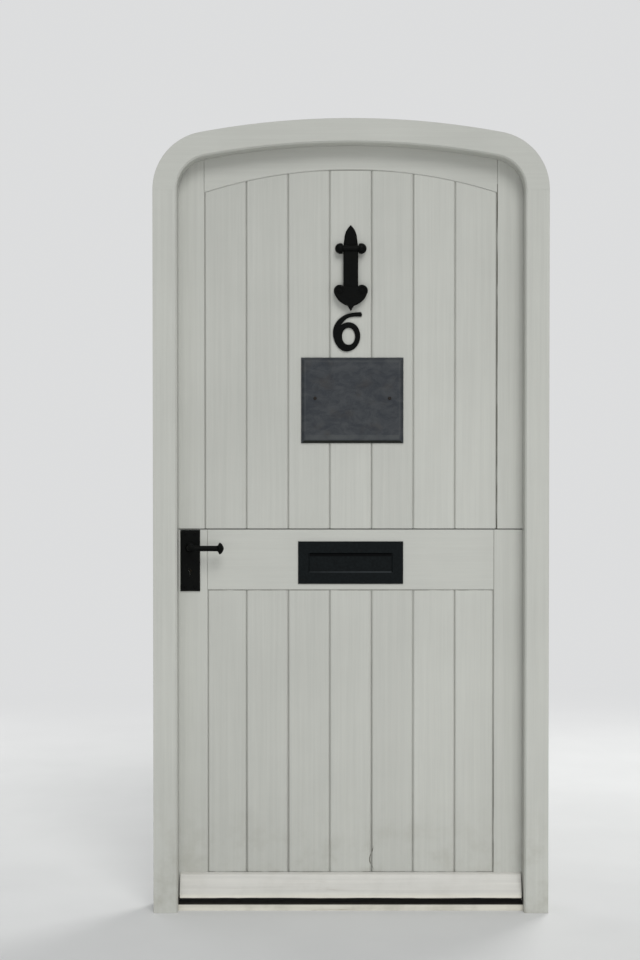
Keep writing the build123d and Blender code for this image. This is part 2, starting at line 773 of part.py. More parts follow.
def spindle():
    ends = (face - plate_thickness - socket_depth, frame_back + plate_thickness + socket_depth)
    half = spindle_size / 2
    return block((lock_x - half, lock_x + half), ends, (spindle_z - half, spindle_z + half))


def sliding_bolt(size, z, bevel):
    """A bolt with its nose level with the forend. A bevel lets the latch ride in as the door closes."""
    half = [v / 2 for v in size]
    body = block((-half_leaf, -half_leaf + bolt_length), (leaf_middle - half[0], leaf_middle + half[0]),
                 (z - half[1], z + half[1]))
    if not bevel:
        return body
    nose = front_edges(body, leaf_middle - half[0], lambda e: e.center().X < 1 - half_leaf)
    return chamfer(nose, bevel)


# Letterplate

def letterplate():
    half, high = letter_width / 2, letter_height / 2
    body = block((-half, half), (face - letter_thickness, face), (letter_z - high, letter_z + high))
    body = chamfer(front_edges(body, face - letter_thickness, lambda e: True), letter_bevel)
    body -= block((-aperture_width / 2, aperture_width / 2), (face - letter_thickness - 1, face + 1),
                  (letter_z - aperture_height / 2, letter_z + aperture_height / 2))
    rim = front_edges(body, face - letter_thickness, lambda e: abs(e.center().X) <= aperture_width / 2 + 0.01
                      and abs(e.center().Z - letter_z) <= aperture_height / 2 + 0.01)
    body = chamfer(rim, aperture_bevel)
    inner = aperture_width / 2 + flap_lap + ear_gap
    ear_half = flap_trunnion + ear_wall
    for side in (1, -1):
        ear = block((side * inner, side * (inner + ear_thickness)), (face - 1, flap_pivot_y + ear_half),
                    (flap_pivot_z - ear_half, flap_pivot_z + ear_half))
        ear -= rod_x((side * (inner - 1), side * (inner + ear_thickness + 1)), flap_pivot_y, flap_pivot_z,
                     flap_trunnion + running_fit)
        body += ear
    return body


def letter_flap():
    """A flap hung behind the plate on two trunnions, opening inwards. The bead's weight shuts it."""
    half = aperture_width / 2 + flap_lap
    front = face + flap_clear
    back = front + flap_thickness
    foot = letter_z - aperture_height / 2 - flap_lap
    body = block((-half, half), (front, back), (foot, flap_pivot_z))
    bead = block((-half, half), (back, back + flap_bead[0]), (foot, foot + flap_bead[1]))
    body += chamfer(front_edges(bead, back + flap_bead[0], lambda e: True), flap_bead[0] / 3)
    body += rod_x((-half, half), flap_pivot_y, flap_pivot_z, flap_barrel)
    reach = half + ear_gap + ear_thickness
    return body + rod_x((-reach, reach), flap_pivot_y, flap_pivot_z, flap_trunnion)


def inner_letter_frame():
    outer = block((-slot_half - inner_border, slot_half + inner_border),
                  (frame_back, frame_back + inner_thickness),
                  (slot_foot - inner_border, slot_top + inner_border))
    outer = chamfer(front_edges(outer, frame_back + inner_thickness, lambda e: True), letter_bevel)
    return outer - block((-slot_half, slot_half), (face, frame_back + beyond + inner_thickness),
                         (slot_foot, slot_top))


# Knocker

def spear_outline():
    """A tang below the pivot, and above it a leaf-shaped head with a blunt tip."""
    foot, step, side = pivot_z - tang_length, pivot_z - ear_ball, pivot_z + spear_side
    shoulder, neck, tip = pivot_z + spear_shoulder, pivot_z + spear_neck[1], pivot_z + spear_height
    edges = [Line(upright(-tang_half, foot), upright(tang_half, foot))]
    for way in (1, -1):
        edges.append(Polyline(upright(way * tang_half, foot), upright(way * tang_half, step),
                              upright(way * spear_half, step), upright(way * spear_half, side),
                              upright(way * 0.86 * spear_half, shoulder)))
        middle = ((0.86 * spear_half + spear_neck[0]) / 2 + spear_swell, (shoulder + neck) / 2)
        edges.append(ThreePointArc(upright(way * 0.86 * spear_half, shoulder),
                                   upright(way * middle[0], middle[1]), upright(way * spear_neck[0], neck)))
        edges.append(Line(upright(way * spear_neck[0], neck), upright(0, tip)))
    return make_face(edges)


def knocker_backplate():
    """A spear-headed plate with two round ears that carry the pivot."""
    front = board_face - knocker_plate_thickness
    body = slab(spear_outline(), front, board_face)
    upper = front_edges(body, front, lambda e: e.bounding_box().min.Z > pivot_z)
    body = chamfer(upper, 0.6 * knocker_plate_thickness)
    ears = Part()
    for way in (1, -1):
        ears += Pos(way * ear_ball_x, pivot_y, pivot_z) * Sphere(ear_ball)
    gap = barrel_half + side_clear
    ears -= block((-gap, gap), (pivot_y - 2 * ear_ball, front), (pivot_z - ear_ball, pivot_z + ear_ball))
    ears &= block((-half_opening, half_opening), (frame_front - ear_ball, board_face), (0, crown_height))
    body += ears
    reach = ear_ball_x + ear_ball - pin_sink
    return body - rod_x((-reach, reach), pivot_y, pivot_z, knocker_pin_radius + running_fit)


def knocker_pin():
    reach = ear_ball_x + ear_ball - pin_sink - pin_end_gap
    return rod_x((-reach, reach), pivot_y, pivot_z, knocker_pin_radius)


def heart_outline():
    """The heart at the foot of the arm: its sides swell between the lobes and the neck above the tip."""
    middle, neck, tip = pivot_z - lobe_drop, pivot_z - heart_neck, pivot_z - arm_length
    top = middle + sqrt(lobe_radius ** 2 - (lobe_x - shaft_half) ** 2)
    side = (lobe_x + lobe_radius * cos(lobe_turn), middle - lobe_radius * sin(lobe_turn))
    swell = ((side[0] + tip_half) / 2 + heart_bulge, (side[1] + neck) / 2 - heart_bulge)
    edges = [Line(upright(-shaft_half, top), upright(shaft_half, top))]
    for way in (1, -1):
        edges.append(ThreePointArc(upright(way * shaft_half, top),
                                   upright(way * (lobe_x + lobe_radius * sin(pi / 4)),
                                           middle + lobe_radius * cos(pi / 4)),
                                   upright(way * side[0], side[1])))
        edges.append(ThreePointArc(upright(way * side[0], side[1]), upright(way * swell[0], swell[1]),
                                   upright(way * tip_half, neck)))
        edges.append(Line(upright(way * tip_half, neck), upright(0, tip)))
    return make_face(edges)


def scroll(x, z, front):
    """A round groove about a boss, as the eye of a scroll."""
    radius, depth = scroll_groove
    return rod_y(x, (front - 1, front + depth), z, radius) - rod_y(x, (front - 1, front + depth), z, lobe_eye)


def knocker_arm():
    back = pivot_y + arm_thickness / 2
    middle = pivot_z - lobe_drop
    front = back - heart_thickness
    arm = rod_x((-barrel_half, barrel_half), pivot_y, pivot_z, barrel_radius)
    shaft = block((-shaft_half, shaft_half), (back - arm_thickness, back), (middle, pivot_z))
    shaft = chamfer(front_edges(shaft, back - arm_thickness, is_upright), arm_round)
    heart = slab(heart_outline(), front, back)
    heart = chamfer(front_edges(heart, front, lambda e: True), arm_round)
    for way in (1, -1):
        heart -= scroll(way * lobe_x, middle, front)
    arm = arm + shaft + heart
    reach = 2 * barrel_half
    return arm - rod_x((-reach, reach), pivot_y, pivot_z, knocker_pin_radius + running_fit)


def knocker_stud():
    """What the heart strikes, driven into the middle board."""
    back = pivot_y + arm_thickness / 2
    return rod_y(0, (back + stud_gap, board_face), pivot_z - stud_drop, stud_radius)


# Slate plaque

def plaque_screw_places():
    return [(plaque_shift + way * plaque_screw_span / 2, plaque_z + plaque_screw_rise) for way in (-1, 1)]


def slate_plaque():
    front = board_face - plaque_thickness
    body = block((plaque_shift - plaque_width / 2, plaque_shift + plaque_width / 2), (front, board_face),
                 (plaque_z - plaque_height / 2, plaque_z + plaque_height / 2))
    outside = body.faces().sort_by(Axis.Y)[0]
    body = chamfer(front_edges(body, front, lambda e: True), *plaque_bevel, reference=outside)
    for x, z in plaque_screw_places():
        body -= rod_y(x, (front - 1, board_face + 1), z, screw_shank[0] + screw_fit)
    return body


# Stable bolt

def stable_staple(low, height, fit):
    y = frame_back + stable_plate[2]
    axis_y = y + stable_stand
    body = block((stable_x - staple_half, stable_x + staple_half), (y - 1, axis_y), (low, low + height))
    body += rod_z(stable_x, axis_y, (low, low + height), staple_half)
    return body - rod_z(stable_x, axis_y, (low - 1, low + height + 1), stable_rod + fit)


def stable_bolt_plate():
    width, height, thickness = stable_plate
    foot = upper_foot + stable_margin
    body = block((stable_x - width / 2, stable_x + width / 2), (frame_back, frame_back + thickness),
                 (foot, foot + height))
    for rise in (staple_low, staple_high):
        body += stable_staple(foot + rise, staple_height, stable_fit)
    return body


def stable_bolt_keep():
    width, _, thickness = stable_plate
    top = lower_top - stable_margin
    body = block((stable_x - width / 2, stable_x + width / 2), (frame_back, frame_back + thickness),
                 (top - stable_keep_height, top))
    low = top - (stable_keep_height + staple_height) / 2
    return body + stable_staple(low, staple_height, stable_keep_play)


def stable_bolt_rod():
    axis_y = frame_back + stable_plate[2] + stable_stand
    foot = upper_foot + stable_margin
    top = foot + staple_high + staple_height + stable_throw + stable_margin
    body = rod_z(stable_x, axis_y, (foot, top), stable_rod)
    body = chamfer(body.edges().filter_by(GeomType.CIRCLE), stable_bevel)
    radius, length = stable_knob
    knob_z = foot + staple_low + staple_height + stable_throw + stable_margin + radius
    end = axis_y + stable_rod + length
    knob = rod_y(stable_x, (axis_y, end), knob_z, radius)
    return body + chamfer(front_edges(knob, end, lambda e: True), stable_bevel)


def ironwork():
    """Every metal and slate piece, by node."""
    plates = {"outer": (face, -1), "inner": (frame_back, 1)}
    nodes = {
        "lock_keep": keep_plate(),
        "lock_case": lock_case(),
        "latch_bolt": sliding_bolt(latch_size, spindle_z, latch_size[0] * 0.8),
        "dead_bolt": sliding_bolt(dead_size, key_z, 0),
        "lever_spindle": spindle(),
        "letterplate": letterplate(),
        "letter_flap": letter_flap(),
        "inner_letter_frame": inner_letter_frame(),
        "knocker_backplate": knocker_backplate(),
        "knocker_pin": knocker_pin(),
        "knocker_arm": knocker_arm(),
        "knocker_stud": knocker_stud(),
        "slate_plaque": slate_plaque(),
        "plaque_screws": Compound([screw(x, z, board_face, -1, plaque_thickness)
                                   for x, z in plaque_screw_places()]),
        "stable_bolt_plate": stable_bolt_plate(),
        "stable_bolt_keep": stable_bolt_keep(),
        "stable_bolt_rod": stable_bolt_rod(),
        "hinge_pins": Compound([hinge_pin(middle) for middle in upper_hinges + lower_hinges]),
        "backplate_screws": Compound([screw(x, z, level, way, plate_thickness)
                                      for level, way in plates.values() for x, z in plate_screw_places()]),
    }
    for name, (level, way) in plates.items():
        nodes[f"{name}_backplate"] = backplate(level, way)
        nodes[f"{name}_lever"] = lever(level + way * plate_thickness, way)
    for leaf, places in (("upper", upper_hinges), ("lower", lower_hinges)):
        for place, middle in zip(("top", "bottom"), places):
            nodes[f"{leaf}_{place}_hinge_frame_plate"] = hinge_plate(middle, 1)
            nodes[f"{leaf}_{place}_hinge_leaf_plate"] = hinge_plate(middle, -1)
    return nodes


def frame_nodes():
    ring = frame_ring()
    return {"left_jamb": jamb(ring, -1), "right_jamb": jamb(ring, 1), "arched_head": arched_head(ring),
            "sill": sill()}


os.makedirs("parts", exist_ok=True)
for node, shape in {**frame_nodes(), **upper_leaf(), **lower_leaf(), **ironwork()}.items():
    export_step(shape, f"parts/{node}.step")
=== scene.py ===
import random
from math import atan2, floor, pi, radians

import bmesh
import bpy
from mathutils import Matrix, Vector, noise


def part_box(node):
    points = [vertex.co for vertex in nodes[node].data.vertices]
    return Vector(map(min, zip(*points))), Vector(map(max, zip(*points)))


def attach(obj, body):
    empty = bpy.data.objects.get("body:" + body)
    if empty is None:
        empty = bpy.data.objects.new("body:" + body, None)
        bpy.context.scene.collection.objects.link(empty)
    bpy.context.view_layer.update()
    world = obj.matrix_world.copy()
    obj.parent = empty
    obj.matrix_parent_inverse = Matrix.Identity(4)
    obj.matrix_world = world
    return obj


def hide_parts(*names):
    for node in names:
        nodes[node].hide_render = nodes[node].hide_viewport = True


# A painted stable door with its ironwork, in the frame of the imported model. Lengths are in metres.
# The outside of the door faces -Y, +X is to the right seen from outside, and +Z is up.

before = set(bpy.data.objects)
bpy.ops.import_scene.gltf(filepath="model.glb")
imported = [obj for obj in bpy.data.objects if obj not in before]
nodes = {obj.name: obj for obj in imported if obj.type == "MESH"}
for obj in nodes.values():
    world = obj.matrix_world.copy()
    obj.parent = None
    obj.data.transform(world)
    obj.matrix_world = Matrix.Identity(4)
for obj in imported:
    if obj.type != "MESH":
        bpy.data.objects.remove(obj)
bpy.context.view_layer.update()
chance = random.Random(6)

mm = 0.001

# Camera, where the photograph was taken from, with a longer lens so that the door fills the picture
camera_place = (-0.075, -4.172, 1.124)
camera_tilt = -1.0  # degrees above the level
camera_lens = 64  # its focal length and sensor_width are in millimetres
sensor_width = 36

# Paint and metal colours, as linear values
sage = (0.478, 0.483, 0.445)
foot_sage = (0.560, 0.550, 0.512)
# Paler paint standing in for light on the weatherboard's lip, a painted highlight
lip_highlight_cream = (0.720, 0.700, 0.620)
sill_grey = (0.620, 0.600, 0.530)
# Dark for joints and seams: dirt in them, and painted shade where they lie in shade
joint_dirt_and_shade = (0.085, 0.082, 0.064)
# Near-black painted shade, used in the gap under the weatherboard and behind the keyhole
painted_shade_dark = (0.030, 0.026, 0.020)
splash_dirt = (0.300, 0.285, 0.235)
bare_timber = (0.215, 0.165, 0.110)
iron_black = (0.0022, 0.0026, 0.0023)
letter_black = (0.0065, 0.0082, 0.0088)
letter_shade = (0.0015, 0.0018, 0.0020)
# Paler: a painted highlight on the aperture's foot bevel
letter_foot_highlight = (0.0330, 0.0380, 0.0400)
# Dust grey, also a painted highlight on faces that look up
iron_dust_and_highlight = (0.045, 0.043, 0.038)
iron_rust = (0.016, 0.008, 0.005)
slate_dark = (0.029, 0.033, 0.039)
slate_pale = (0.052, 0.056, 0.060)
slate_warm = (0.046, 0.041, 0.037)
# Painted shade on the slate's bevels
slate_bevel_shade = (0.010, 0.012, 0.009)
slate_paler = (0.078, 0.084, 0.084)
steel_grey = (0.400, 0.395, 0.380)
steel_dull = (0.230, 0.222, 0.205)
screw_brown = (0.016, 0.013, 0.011)
floor_grey = (0.700, 0.700, 0.690)
room_grey = (0.720, 0.725, 0.730)
sky_white = (0.940, 0.970, 1.000)

# Places that the joinery gives
board_pitch = 102 * mm
board_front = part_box("upper_board_4")[0].y
leaf_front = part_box("mid_rail")[0].y
leaf_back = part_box("mid_rail")[1].y
joint_floor = board_front + 3 * mm
split_level = 931 * mm
rail_foot = 781.75 * mm
board_half = (357 * mm, 350 * mm)  # of the boarded width, in the upper and the lower leaf
opening_half = 421 * mm
arch_centre = -74 * mm
arch_radius = 1881.8 * mm  # of the arched rail's lower edge
letter_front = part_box("letterplate")[0].y
letter_middle = 848.75 * mm
aperture_half = 100.5 * mm
aperture_top = letter_middle + 21.25 * mm
aperture_foot = letter_middle - 21.25 * mm
lock_line = -392.5 * mm
key_level = 829.15 * mm
foot_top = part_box("weatherboard")[1].z
foot_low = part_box("weatherboard")[0].z
brace_width = 90 * mm
edge_gap = 3 * mm  # between a closed leaf's edge and the frame
merged = 0.01 * mm  # points closer than this are one


# Working in edit mode

def deselect_all():
    bpy.ops.object.select_all(action="DESELECT")


def settle(name):
    """Names the active object and puts its place, turn and size into its mesh."""
    piece = bpy.context.active_object
    bpy.ops.object.transform_apply(location=True, rotation=True, scale=True)
    piece.name = name
    piece.data.name = name
    return piece


def make_active(piece):
    deselect_all()
    piece.select_set(True)
    bpy.context.view_layer.objects.active = piece


def edit(piece, select="DESELECT"):
    make_active(piece)
    bpy.ops.object.mode_set(mode="EDIT")
    bpy.ops.mesh.select_all(action=select)
    return bmesh.from_edit_mesh(piece.data)


def done():
    bpy.ops.object.mode_set(mode="OBJECT")


def pick_faces(piece, mesh, test):
    """Selects the faces that pass a test on their middle and normal."""
    bpy.ops.mesh.select_mode(type="FACE")
    for face in mesh.faces:
        face.select = test(face.calc_center_median(), face.normal)
    bmesh.update_edit_mesh(piece.data)


def pick_edges(piece, mesh, test):
    """Selects the edges whose two ends pass a test."""
    bpy.ops.mesh.select_mode(type="EDGE")
    for edge in mesh.edges:
        edge.select = test(edge.verts[0].co, edge.verts[1].co)
    bmesh.update_edit_mesh(piece.data)


def slice_across(places, direction):
    """Cuts the whole mesh, in edit mode, at places along a direction."""
    for place in places:
        bpy.ops.mesh.select_all(action="SELECT")
        bpy.ops.mesh.bisect(plane_co=Vector(direction) * place, plane_no=direction)


def steps(low, high, pitch):
    """Places between two ends, about a pitch apart."""
    count = max(2, round((high - low) / pitch))
    return [low + (high - low) * i / count for i in range(1, count)]


def block(name, low, high):
    """A box between two corners, to be shaped further."""
    middle = [(a + b) / 2 for a, b in zip(low, high)]
    size = [b - a for a, b in zip(low, high)]
    deselect_all()
    bpy.ops.mesh.primitive_cube_add(size=1, location=middle, scale=size)
    return settle(name)


def apply_modifier(piece, kind, **settings):
    make_active(piece)
    modifier = piece.modifiers.new(kind.title(), kind)
    for name, value in settings.items():
        setattr(modifier, name, value)
    bpy.ops.object.modifier_apply(modifier=modifier.name)


def copy_of_node(node, name):
    """A copy of a CAD node's mesh, merged and with its flat faces whole again."""
    piece = bpy.data.objects.new(name, nodes[node].data.copy())
    bpy.context.scene.collection.objects.link(piece)
    edit(piece, "SELECT")
    bpy.ops.mesh.remove_doubles(threshold=merged)
    bpy.ops.mesh.dissolve_limited(angle_limit=radians(0.5))
    bpy.ops.mesh.customdata_custom_splitnormals_clear()
    done()
    return piece


def smooth(piece, angle):
    make_active(piece)
    bpy.ops.object.shade_smooth_by_angle(angle=radians(angle))


def hand_over(piece, body, slot, material, *replaced):
    """Gives a finished piece its body and finish, and hides the nodes that it stands for."""
    piece.data.materials.clear()
    piece.data.materials.append(material)
    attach(piece, body)
    if replaced:
        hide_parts(*replaced)


# Materials

class Shading:
    """A tree of shader nodes while it is put together."""

    def __init__(self, tree):
        self.tree = tree

    def node(self, kind, **settings):
        made = self.tree.nodes.new(kind)
        for name, value in settings.items():
            setattr(made, name, value)
        return made

    def feed(self, socket, value):
        if isinstance(value, bpy.types.NodeSocket):
            self.tree.links.new(value, socket)
        elif isinstance(value, tuple) and len(value) == 3 and socket.type == "RGBA":
            socket.default_value = (*value, 1)
        else:
            socket.default_value = value

    def maths(self, operation, a, b=0.0):
        made = self.node("ShaderNodeMath", operation=operation)
        self.feed(made.inputs[0], a)
        self.feed(made.inputs[1], b)
        return made.outputs[0]

    def mixed(self, share, a, b):
        """Two shaders mixed, with the share of the second one."""
        made = self.node("ShaderNodeMixShader")
        for socket, value in zip(made.inputs, (share, a, b)):
            self.feed(socket, value)
        return made.outputs[0]


class Finish(Shading):
    """A material while its nodes are put together."""

    def __init__(self, name):
        self.material = bpy.data.materials.new(name)
        self.material.use_nodes = True
        super().__init__(self.material.node_tree)
        self.surface = self.tree.nodes["Principled BSDF"].inputs
        self.point = self.node("ShaderNodeTexCoord").outputs["Object"]
        self.x, self.y, self.z = self.split(self.point)

    def split(self, vector):
        parts = self.node("ShaderNodeSeparateXYZ")
        self.feed(parts.inputs[0], vector)
        return parts.outputs

    def stretched(self, scale, turn=0.0):
        """The point turned about Y and scaled, for a pattern with a direction."""
        turned = self.node("ShaderNodeMapping")
        self.feed(turned.inputs["Vector"], self.point)
        turned.inputs["Rotation"].default_value = (0, turn, 0)
        scaled = self.node("ShaderNodeMapping")
        self.feed(scaled.inputs["Vector"], turned.outputs[0])
        scaled.inputs["Scale"].default_value = scale
        return scaled.outputs[0]

    def noise(self, at, scale=1.0, detail=2.0, roughness=0.5, distortion=0.0):
        made = self.node("ShaderNodeTexNoise")
        self.feed(made.inputs["Vector"], at)
        made.inputs["Scale"].default_value = scale
        made.inputs["Detail"].default_value = detail
        made.inputs["Roughness"].default_value = roughness
        made.inputs["Distortion"].default_value = distortion
        return made.outputs[0]

    def ramp(self, value, start, end, low=0.0, high=1.0):
        """A smooth step of a value, from low at start to high at end."""
        made = self.node("ShaderNodeMapRange", interpolation_type="SMOOTHSTEP")
        self.feed(made.inputs["Value"], value)
        for name, number in (("From Min", start), ("From Max", end), ("To Min", low), ("To Max", high)):
            made.inputs[name].default_value = number
        return made.outputs[0]

    def sum(self, a, b, share):
        """One value and a share of another."""
        return self.maths("ADD", a, self.maths("MULTIPLY", b, share))

    def beyond(self, value, reach):
        """How far a value lies past the reach, on either side of nothing."""
        return self.maths("SUBTRACT", self.maths("ABSOLUTE", value), reach)

    def product(self, *values):
        total = values[0]
        for value in values[1:]:
            total = self.maths("MULTIPLY", total, value)
        return total

    def blend(self, share, a, b, mode="MIX"):
        made = self.node("ShaderNodeMix", data_type="RGBA", blend_type=mode)
        self.feed(made.inputs["Factor"], share)
        self.feed(made.inputs[6], a)
        self.feed(made.inputs[7], b)
        return made.outputs[2]

    def grey(self, value):
        made = self.node("ShaderNodeCombineColor")
        for socket in made.inputs[:3]:
            self.feed(socket, value)
        return made.outputs[0]

    def tinted(self, colour, value, amount):
        """A colour made lighter and darker by a value around one half."""
        shade = self.ramp(value, 0.25, 0.75, 1 - amount, 1 + amount)
        return self.blend(1.0, colour, self.grey(shade), "MULTIPLY")

    def rounded(self, radius):
        """A normal that rounds the sharp arrises."""
        made = self.node("ShaderNodeBevel", samples=4)
        made.inputs["Radius"].default_value = radius
        return made.outputs[0]

    def bump(self, height, distance, normal):
        made = self.node("ShaderNodeBump")
        made.inputs["Distance"].default_value = distance
        self.feed(made.inputs["Height"], height)
        self.feed(made.inputs["Normal"], normal)
        return made.outputs[0]

    def facing(self):
        """The three parts of the surface's normal."""
        return self.split(self.node("ShaderNodeNewGeometry").outputs["Normal"])


def painted(name, colour, turn=0.0, seams=None, boarded=False, foot_dirt=0.35, worn=0.0, streak=0.028, lip=None):
    """Satin paint brushed along a member: turn is how far its length lies from upright."""
    f = Finish(name)
    coarse = f.noise(f.stretched((130, 130, 2.2), turn), detail=3)
    fine = f.noise(f.stretched((620, 620, 9), turn), detail=2)
    cloudy = f.noise(f.point, scale=2.3, detail=4, roughness=0.6)
    # The weatherboard's foot made paler as a painted highlight
    if lip:
        colour = f.blend(lip_highlight_mask(f), colour, lip)
    tint = f.tinted(colour, coarse, streak)
    tint = f.tinted(tint, fine, 0.018)
    tint = f.tinted(tint, cloudy, 0.04)
    tint = f.blend(f.product(splash_mask(f), foot_dirt), tint, splash_dirt)
    if worn:
        tint = f.blend(f.product(wear_mask(f, turn), worn), tint, bare_timber)
    if boarded:
        tint = f.blend(1.0, tint, board_shade(f), "MULTIPLY")
    # Seams darkened with dirt and painted shade
    if seams:
        tint = f.blend(seams(f), tint, joint_dirt_and_shade)
    # Painted shade under the weatherboard, with a rougher surface there
    gap_shade = under_the_weatherboard(f)
    gap_shade_tone = f.tinted(painted_shade_dark, f.noise(f.stretched((26, 26, 8), turn), detail=5, roughness=0.65), 0.55)
    f.feed(f.surface["Base Color"], f.blend(gap_shade, tint, gap_shade_tone))
    f.feed(f.surface["Roughness"], f.sum(f.ramp(coarse, 0.2, 0.8, 0.40, 0.52), gap_shade, 0.45))
    f.surface["Specular IOR Level"].default_value = 0.3
    height = f.sum(f.product(coarse, 0.7), fine, 0.3)
    f.feed(f.surface["Normal"], f.bump(height, 0.22 * mm, f.rounded(1.0 * mm)))
    return f.material


def board_shade(f):
    """Each board's paint is a little lighter or darker than the next one's."""
    index = f.maths("FLOOR", f.maths("DIVIDE", f.maths("ADD", f.x, board_pitch / 2), board_pitch))
    made = f.node("ShaderNodeTexWhiteNoise", noise_dimensions="1D")
    f.feed(made.inputs["W"], index)
    return f.grey(f.ramp(made.outputs["Value"], 0, 1, 0.965, 1.02))


# Masks, which are shares from 0 to 1 over a surface

# Heights from where dirt and painted shade start down to where they are thickest
splash_reach = (0.34, 0.03)
low_joint_reach = (0.62, 0.12)
low_stile_reach = (0.65, 0.20)
# Shares of dirt and painted shade in the V joints, and how they lie in them: further out where there is more
low_joint_dirt_and_shade = 0.36
upper_joint_dirt_and_shade = 0.16
least_joint_dirt_and_shade = 0.04
joint_dirt_and_shade_depth = 2.8 * mm  # from the boards' faces
joint_dirt_and_shade_rise = 1.8 * mm
joint_dirt_and_shade_fade = 1.1 * mm
face_reach = 1.2 * mm  # how far behind the boards' faces the lines along their edges go
gap_shade_front = (-21.6 * mm, -20.4 * mm)  # where the painted shade under the weatherboard starts, and where it is full
crack_top, crack_knee, crack_foot = 0.150, 0.118, 0.090


def near(f, value, place, reach, fade):
    """One where a value lies within reach of a place, falling to nothing over the fade."""
    away = f.maths("ABSOLUTE", f.maths("SUBTRACT", value, place))
    return f.ramp(away, reach, reach + fade, 1, 0)


def most(f, *values):
    """The greatest of several values."""
    total = values[0]
    for value in values[1:]:
        total = f.maths("MAXIMUM", total, value)
    return total


def broken(f, scale, low, high, least):
    """A share that comes and goes along a seam."""
    return f.ramp(f.noise(f.stretched(scale), detail=3), low, high, least, 1)


def lip_highlight_mask(f):
    """A painted highlight: paler paint along the weatherboard's foot, up to an uneven edge."""
    height = f.sum(f.z, f.noise(f.stretched((12, 12, 60)), detail=4), 8 * mm)
    return f.ramp(height, foot_low + 19 * mm, foot_low + 6 * mm)


def splash_mask(f):
    """Patches of splashed dirt that thicken towards the foot of the door."""
    patches = f.noise(f.point, scale=14, detail=5, roughness=0.65)
    return f.product(f.ramp(f.z, *splash_reach), f.ramp(patches, 0.42, 0.72))


def on_upper_leaf(f):
    """One above the line where the leaves meet, and nothing below it."""
    return f.ramp(f.z, split_level - mm, split_level + mm)


def on_faces(f):
    """One on the outside's faces and the edges of its joints, and nothing behind them."""
    return f.maths("LESS_THAN", f.y, board_front + face_reach)


def joint_dirt_and_shade_mask(f):
    """Dirt and painted shade at the bottom of the V joints on the outside: more on the upper leaf, and low down at
    three joints.
    """
    three = most(f, near(f, f.x, -2 * board_pitch, 60 * mm, 20 * mm),
                 near(f, f.x, board_pitch / 2, 20 * mm, 20 * mm))
    low_down = f.product(f.ramp(f.z, *low_joint_reach), three)
    share = f.sum(f.product(low_down, low_joint_dirt_and_shade), on_upper_leaf(f), upper_joint_dirt_and_shade)
    share = f.maths("ADD", share, least_joint_dirt_and_shade)
    start = f.maths("SUBTRACT", board_front + joint_dirt_and_shade_depth, f.maths("MULTIPLY", share, joint_dirt_and_shade_rise))
    depth = f.maths("DIVIDE", f.maths("SUBTRACT", f.y, start), joint_dirt_and_shade_fade)
    uneven = f.noise(f.stretched((60, 60, 11)), detail=3)
    depth = f.sum(depth, f.maths("SUBTRACT", uneven, 0.5), 0.9)
    inside = f.maths("LESS_THAN", f.y, joint_floor + 3 * mm)
    return f.product(f.ramp(depth, 0.0, 1.0), inside, f.sum(0.3, share, 0.9))


def crack_mask(f):
    """A hooked crack in the paint beside the joint at the foot of the fifth board."""
    bend = f.ramp(f.z, crack_top, crack_knee)
    back = f.ramp(f.z, crack_knee, crack_foot)
    line = f.sum(board_pitch / 2 + 3.5 * mm, bend, -8.5 * mm)
    line = f.sum(line, back, 10 * mm)
    line = f.sum(line, f.noise(f.stretched((1, 1, 90)), detail=2), 1.5 * mm)
    away = f.maths("ABSOLUTE", f.maths("SUBTRACT", f.x, line))
    width = f.product(f.ramp(f.z, crack_foot - 2 * mm, crack_foot + 20 * mm, 0.0, 1.3 * mm),
                      f.ramp(f.z, crack_top + 6 * mm, crack_top - 10 * mm))
    edge = f.maths("SUBTRACT", away, width)
    return f.product(f.ramp(edge, -0.4 * mm, 0.4 * mm, 0.85, 0.0), f.maths("LESS_THAN", f.y, joint_floor))


def beside_the_stiles(f):
    """A broken line where boards and stiles meet: wider on the right, and darker there as painted shade but for the
    lower top.
    """
    upper = on_upper_leaf(f)
    side = f.beyond(f.x, f.sum(board_half[1], upper, board_half[0] - board_half[1]))
    right = f.ramp(f.x, -mm, mm)
    # The right side's extra darkness is painted shade
    more = f.product(right, most(f, f.product(upper, 0.8), f.ramp(f.z, *low_stile_reach)), 0.5)
    share = f.maths("ADD", f.sum(more, upper, 0.45), 0.1)
    line = f.ramp(f.beyond(side, f.product(right, 0.9 * mm)), 0.7 * mm, 1.6 * mm, 1, 0)
    return f.product(line, broken(f, (3, 3, 9), 0.38, 0.55, 0.35), share)


def from_arch_centre(f):
    """The distance from the centre that the arched rail's lower edge is struck from."""
    rise = f.maths("SUBTRACT", f.z, arch_centre)
    return f.maths("SQRT", f.maths("ADD", f.product(f.x, f.x), f.product(rise, rise)))


def board_seams(f):
    """Dirt and painted shade in the boards' joints and where they meet stiles, rails and weatherboard, on the
    outside.
    """
    ends = most(f, f.product(near(f, f.z, foot_top, 1.0 * mm, 1.2 * mm), 0.5),
                f.product(near(f, f.z, rail_foot, 0.9 * mm, 0.9 * mm), 0.85))
    ends = f.product(ends, broken(f, (26, 3, 3), 0.36, 0.58, 0.2))
    arch = f.product(near(f, from_arch_centre(f), arch_radius, 1.0 * mm, 1.2 * mm), 0.8)
    edges = f.product(most(f, beside_the_stiles(f), ends, arch), on_faces(f))
    return most(f, joint_dirt_and_shade_mask(f), crack_mask(f), edges)


def stile_seams(f):
    """The line beside the stiles on the right stile's own arris, along the boards only."""
    along = most(f, f.ramp(f.z, rail_foot + mm, rail_foot), f.ramp(f.z, split_level, split_level + mm))
    below = f.maths("LESS_THAN", from_arch_centre(f), arch_radius)
    return f.product(beside_the_stiles(f), along, below, on_faces(f), f.ramp(f.x, 0.0, mm))


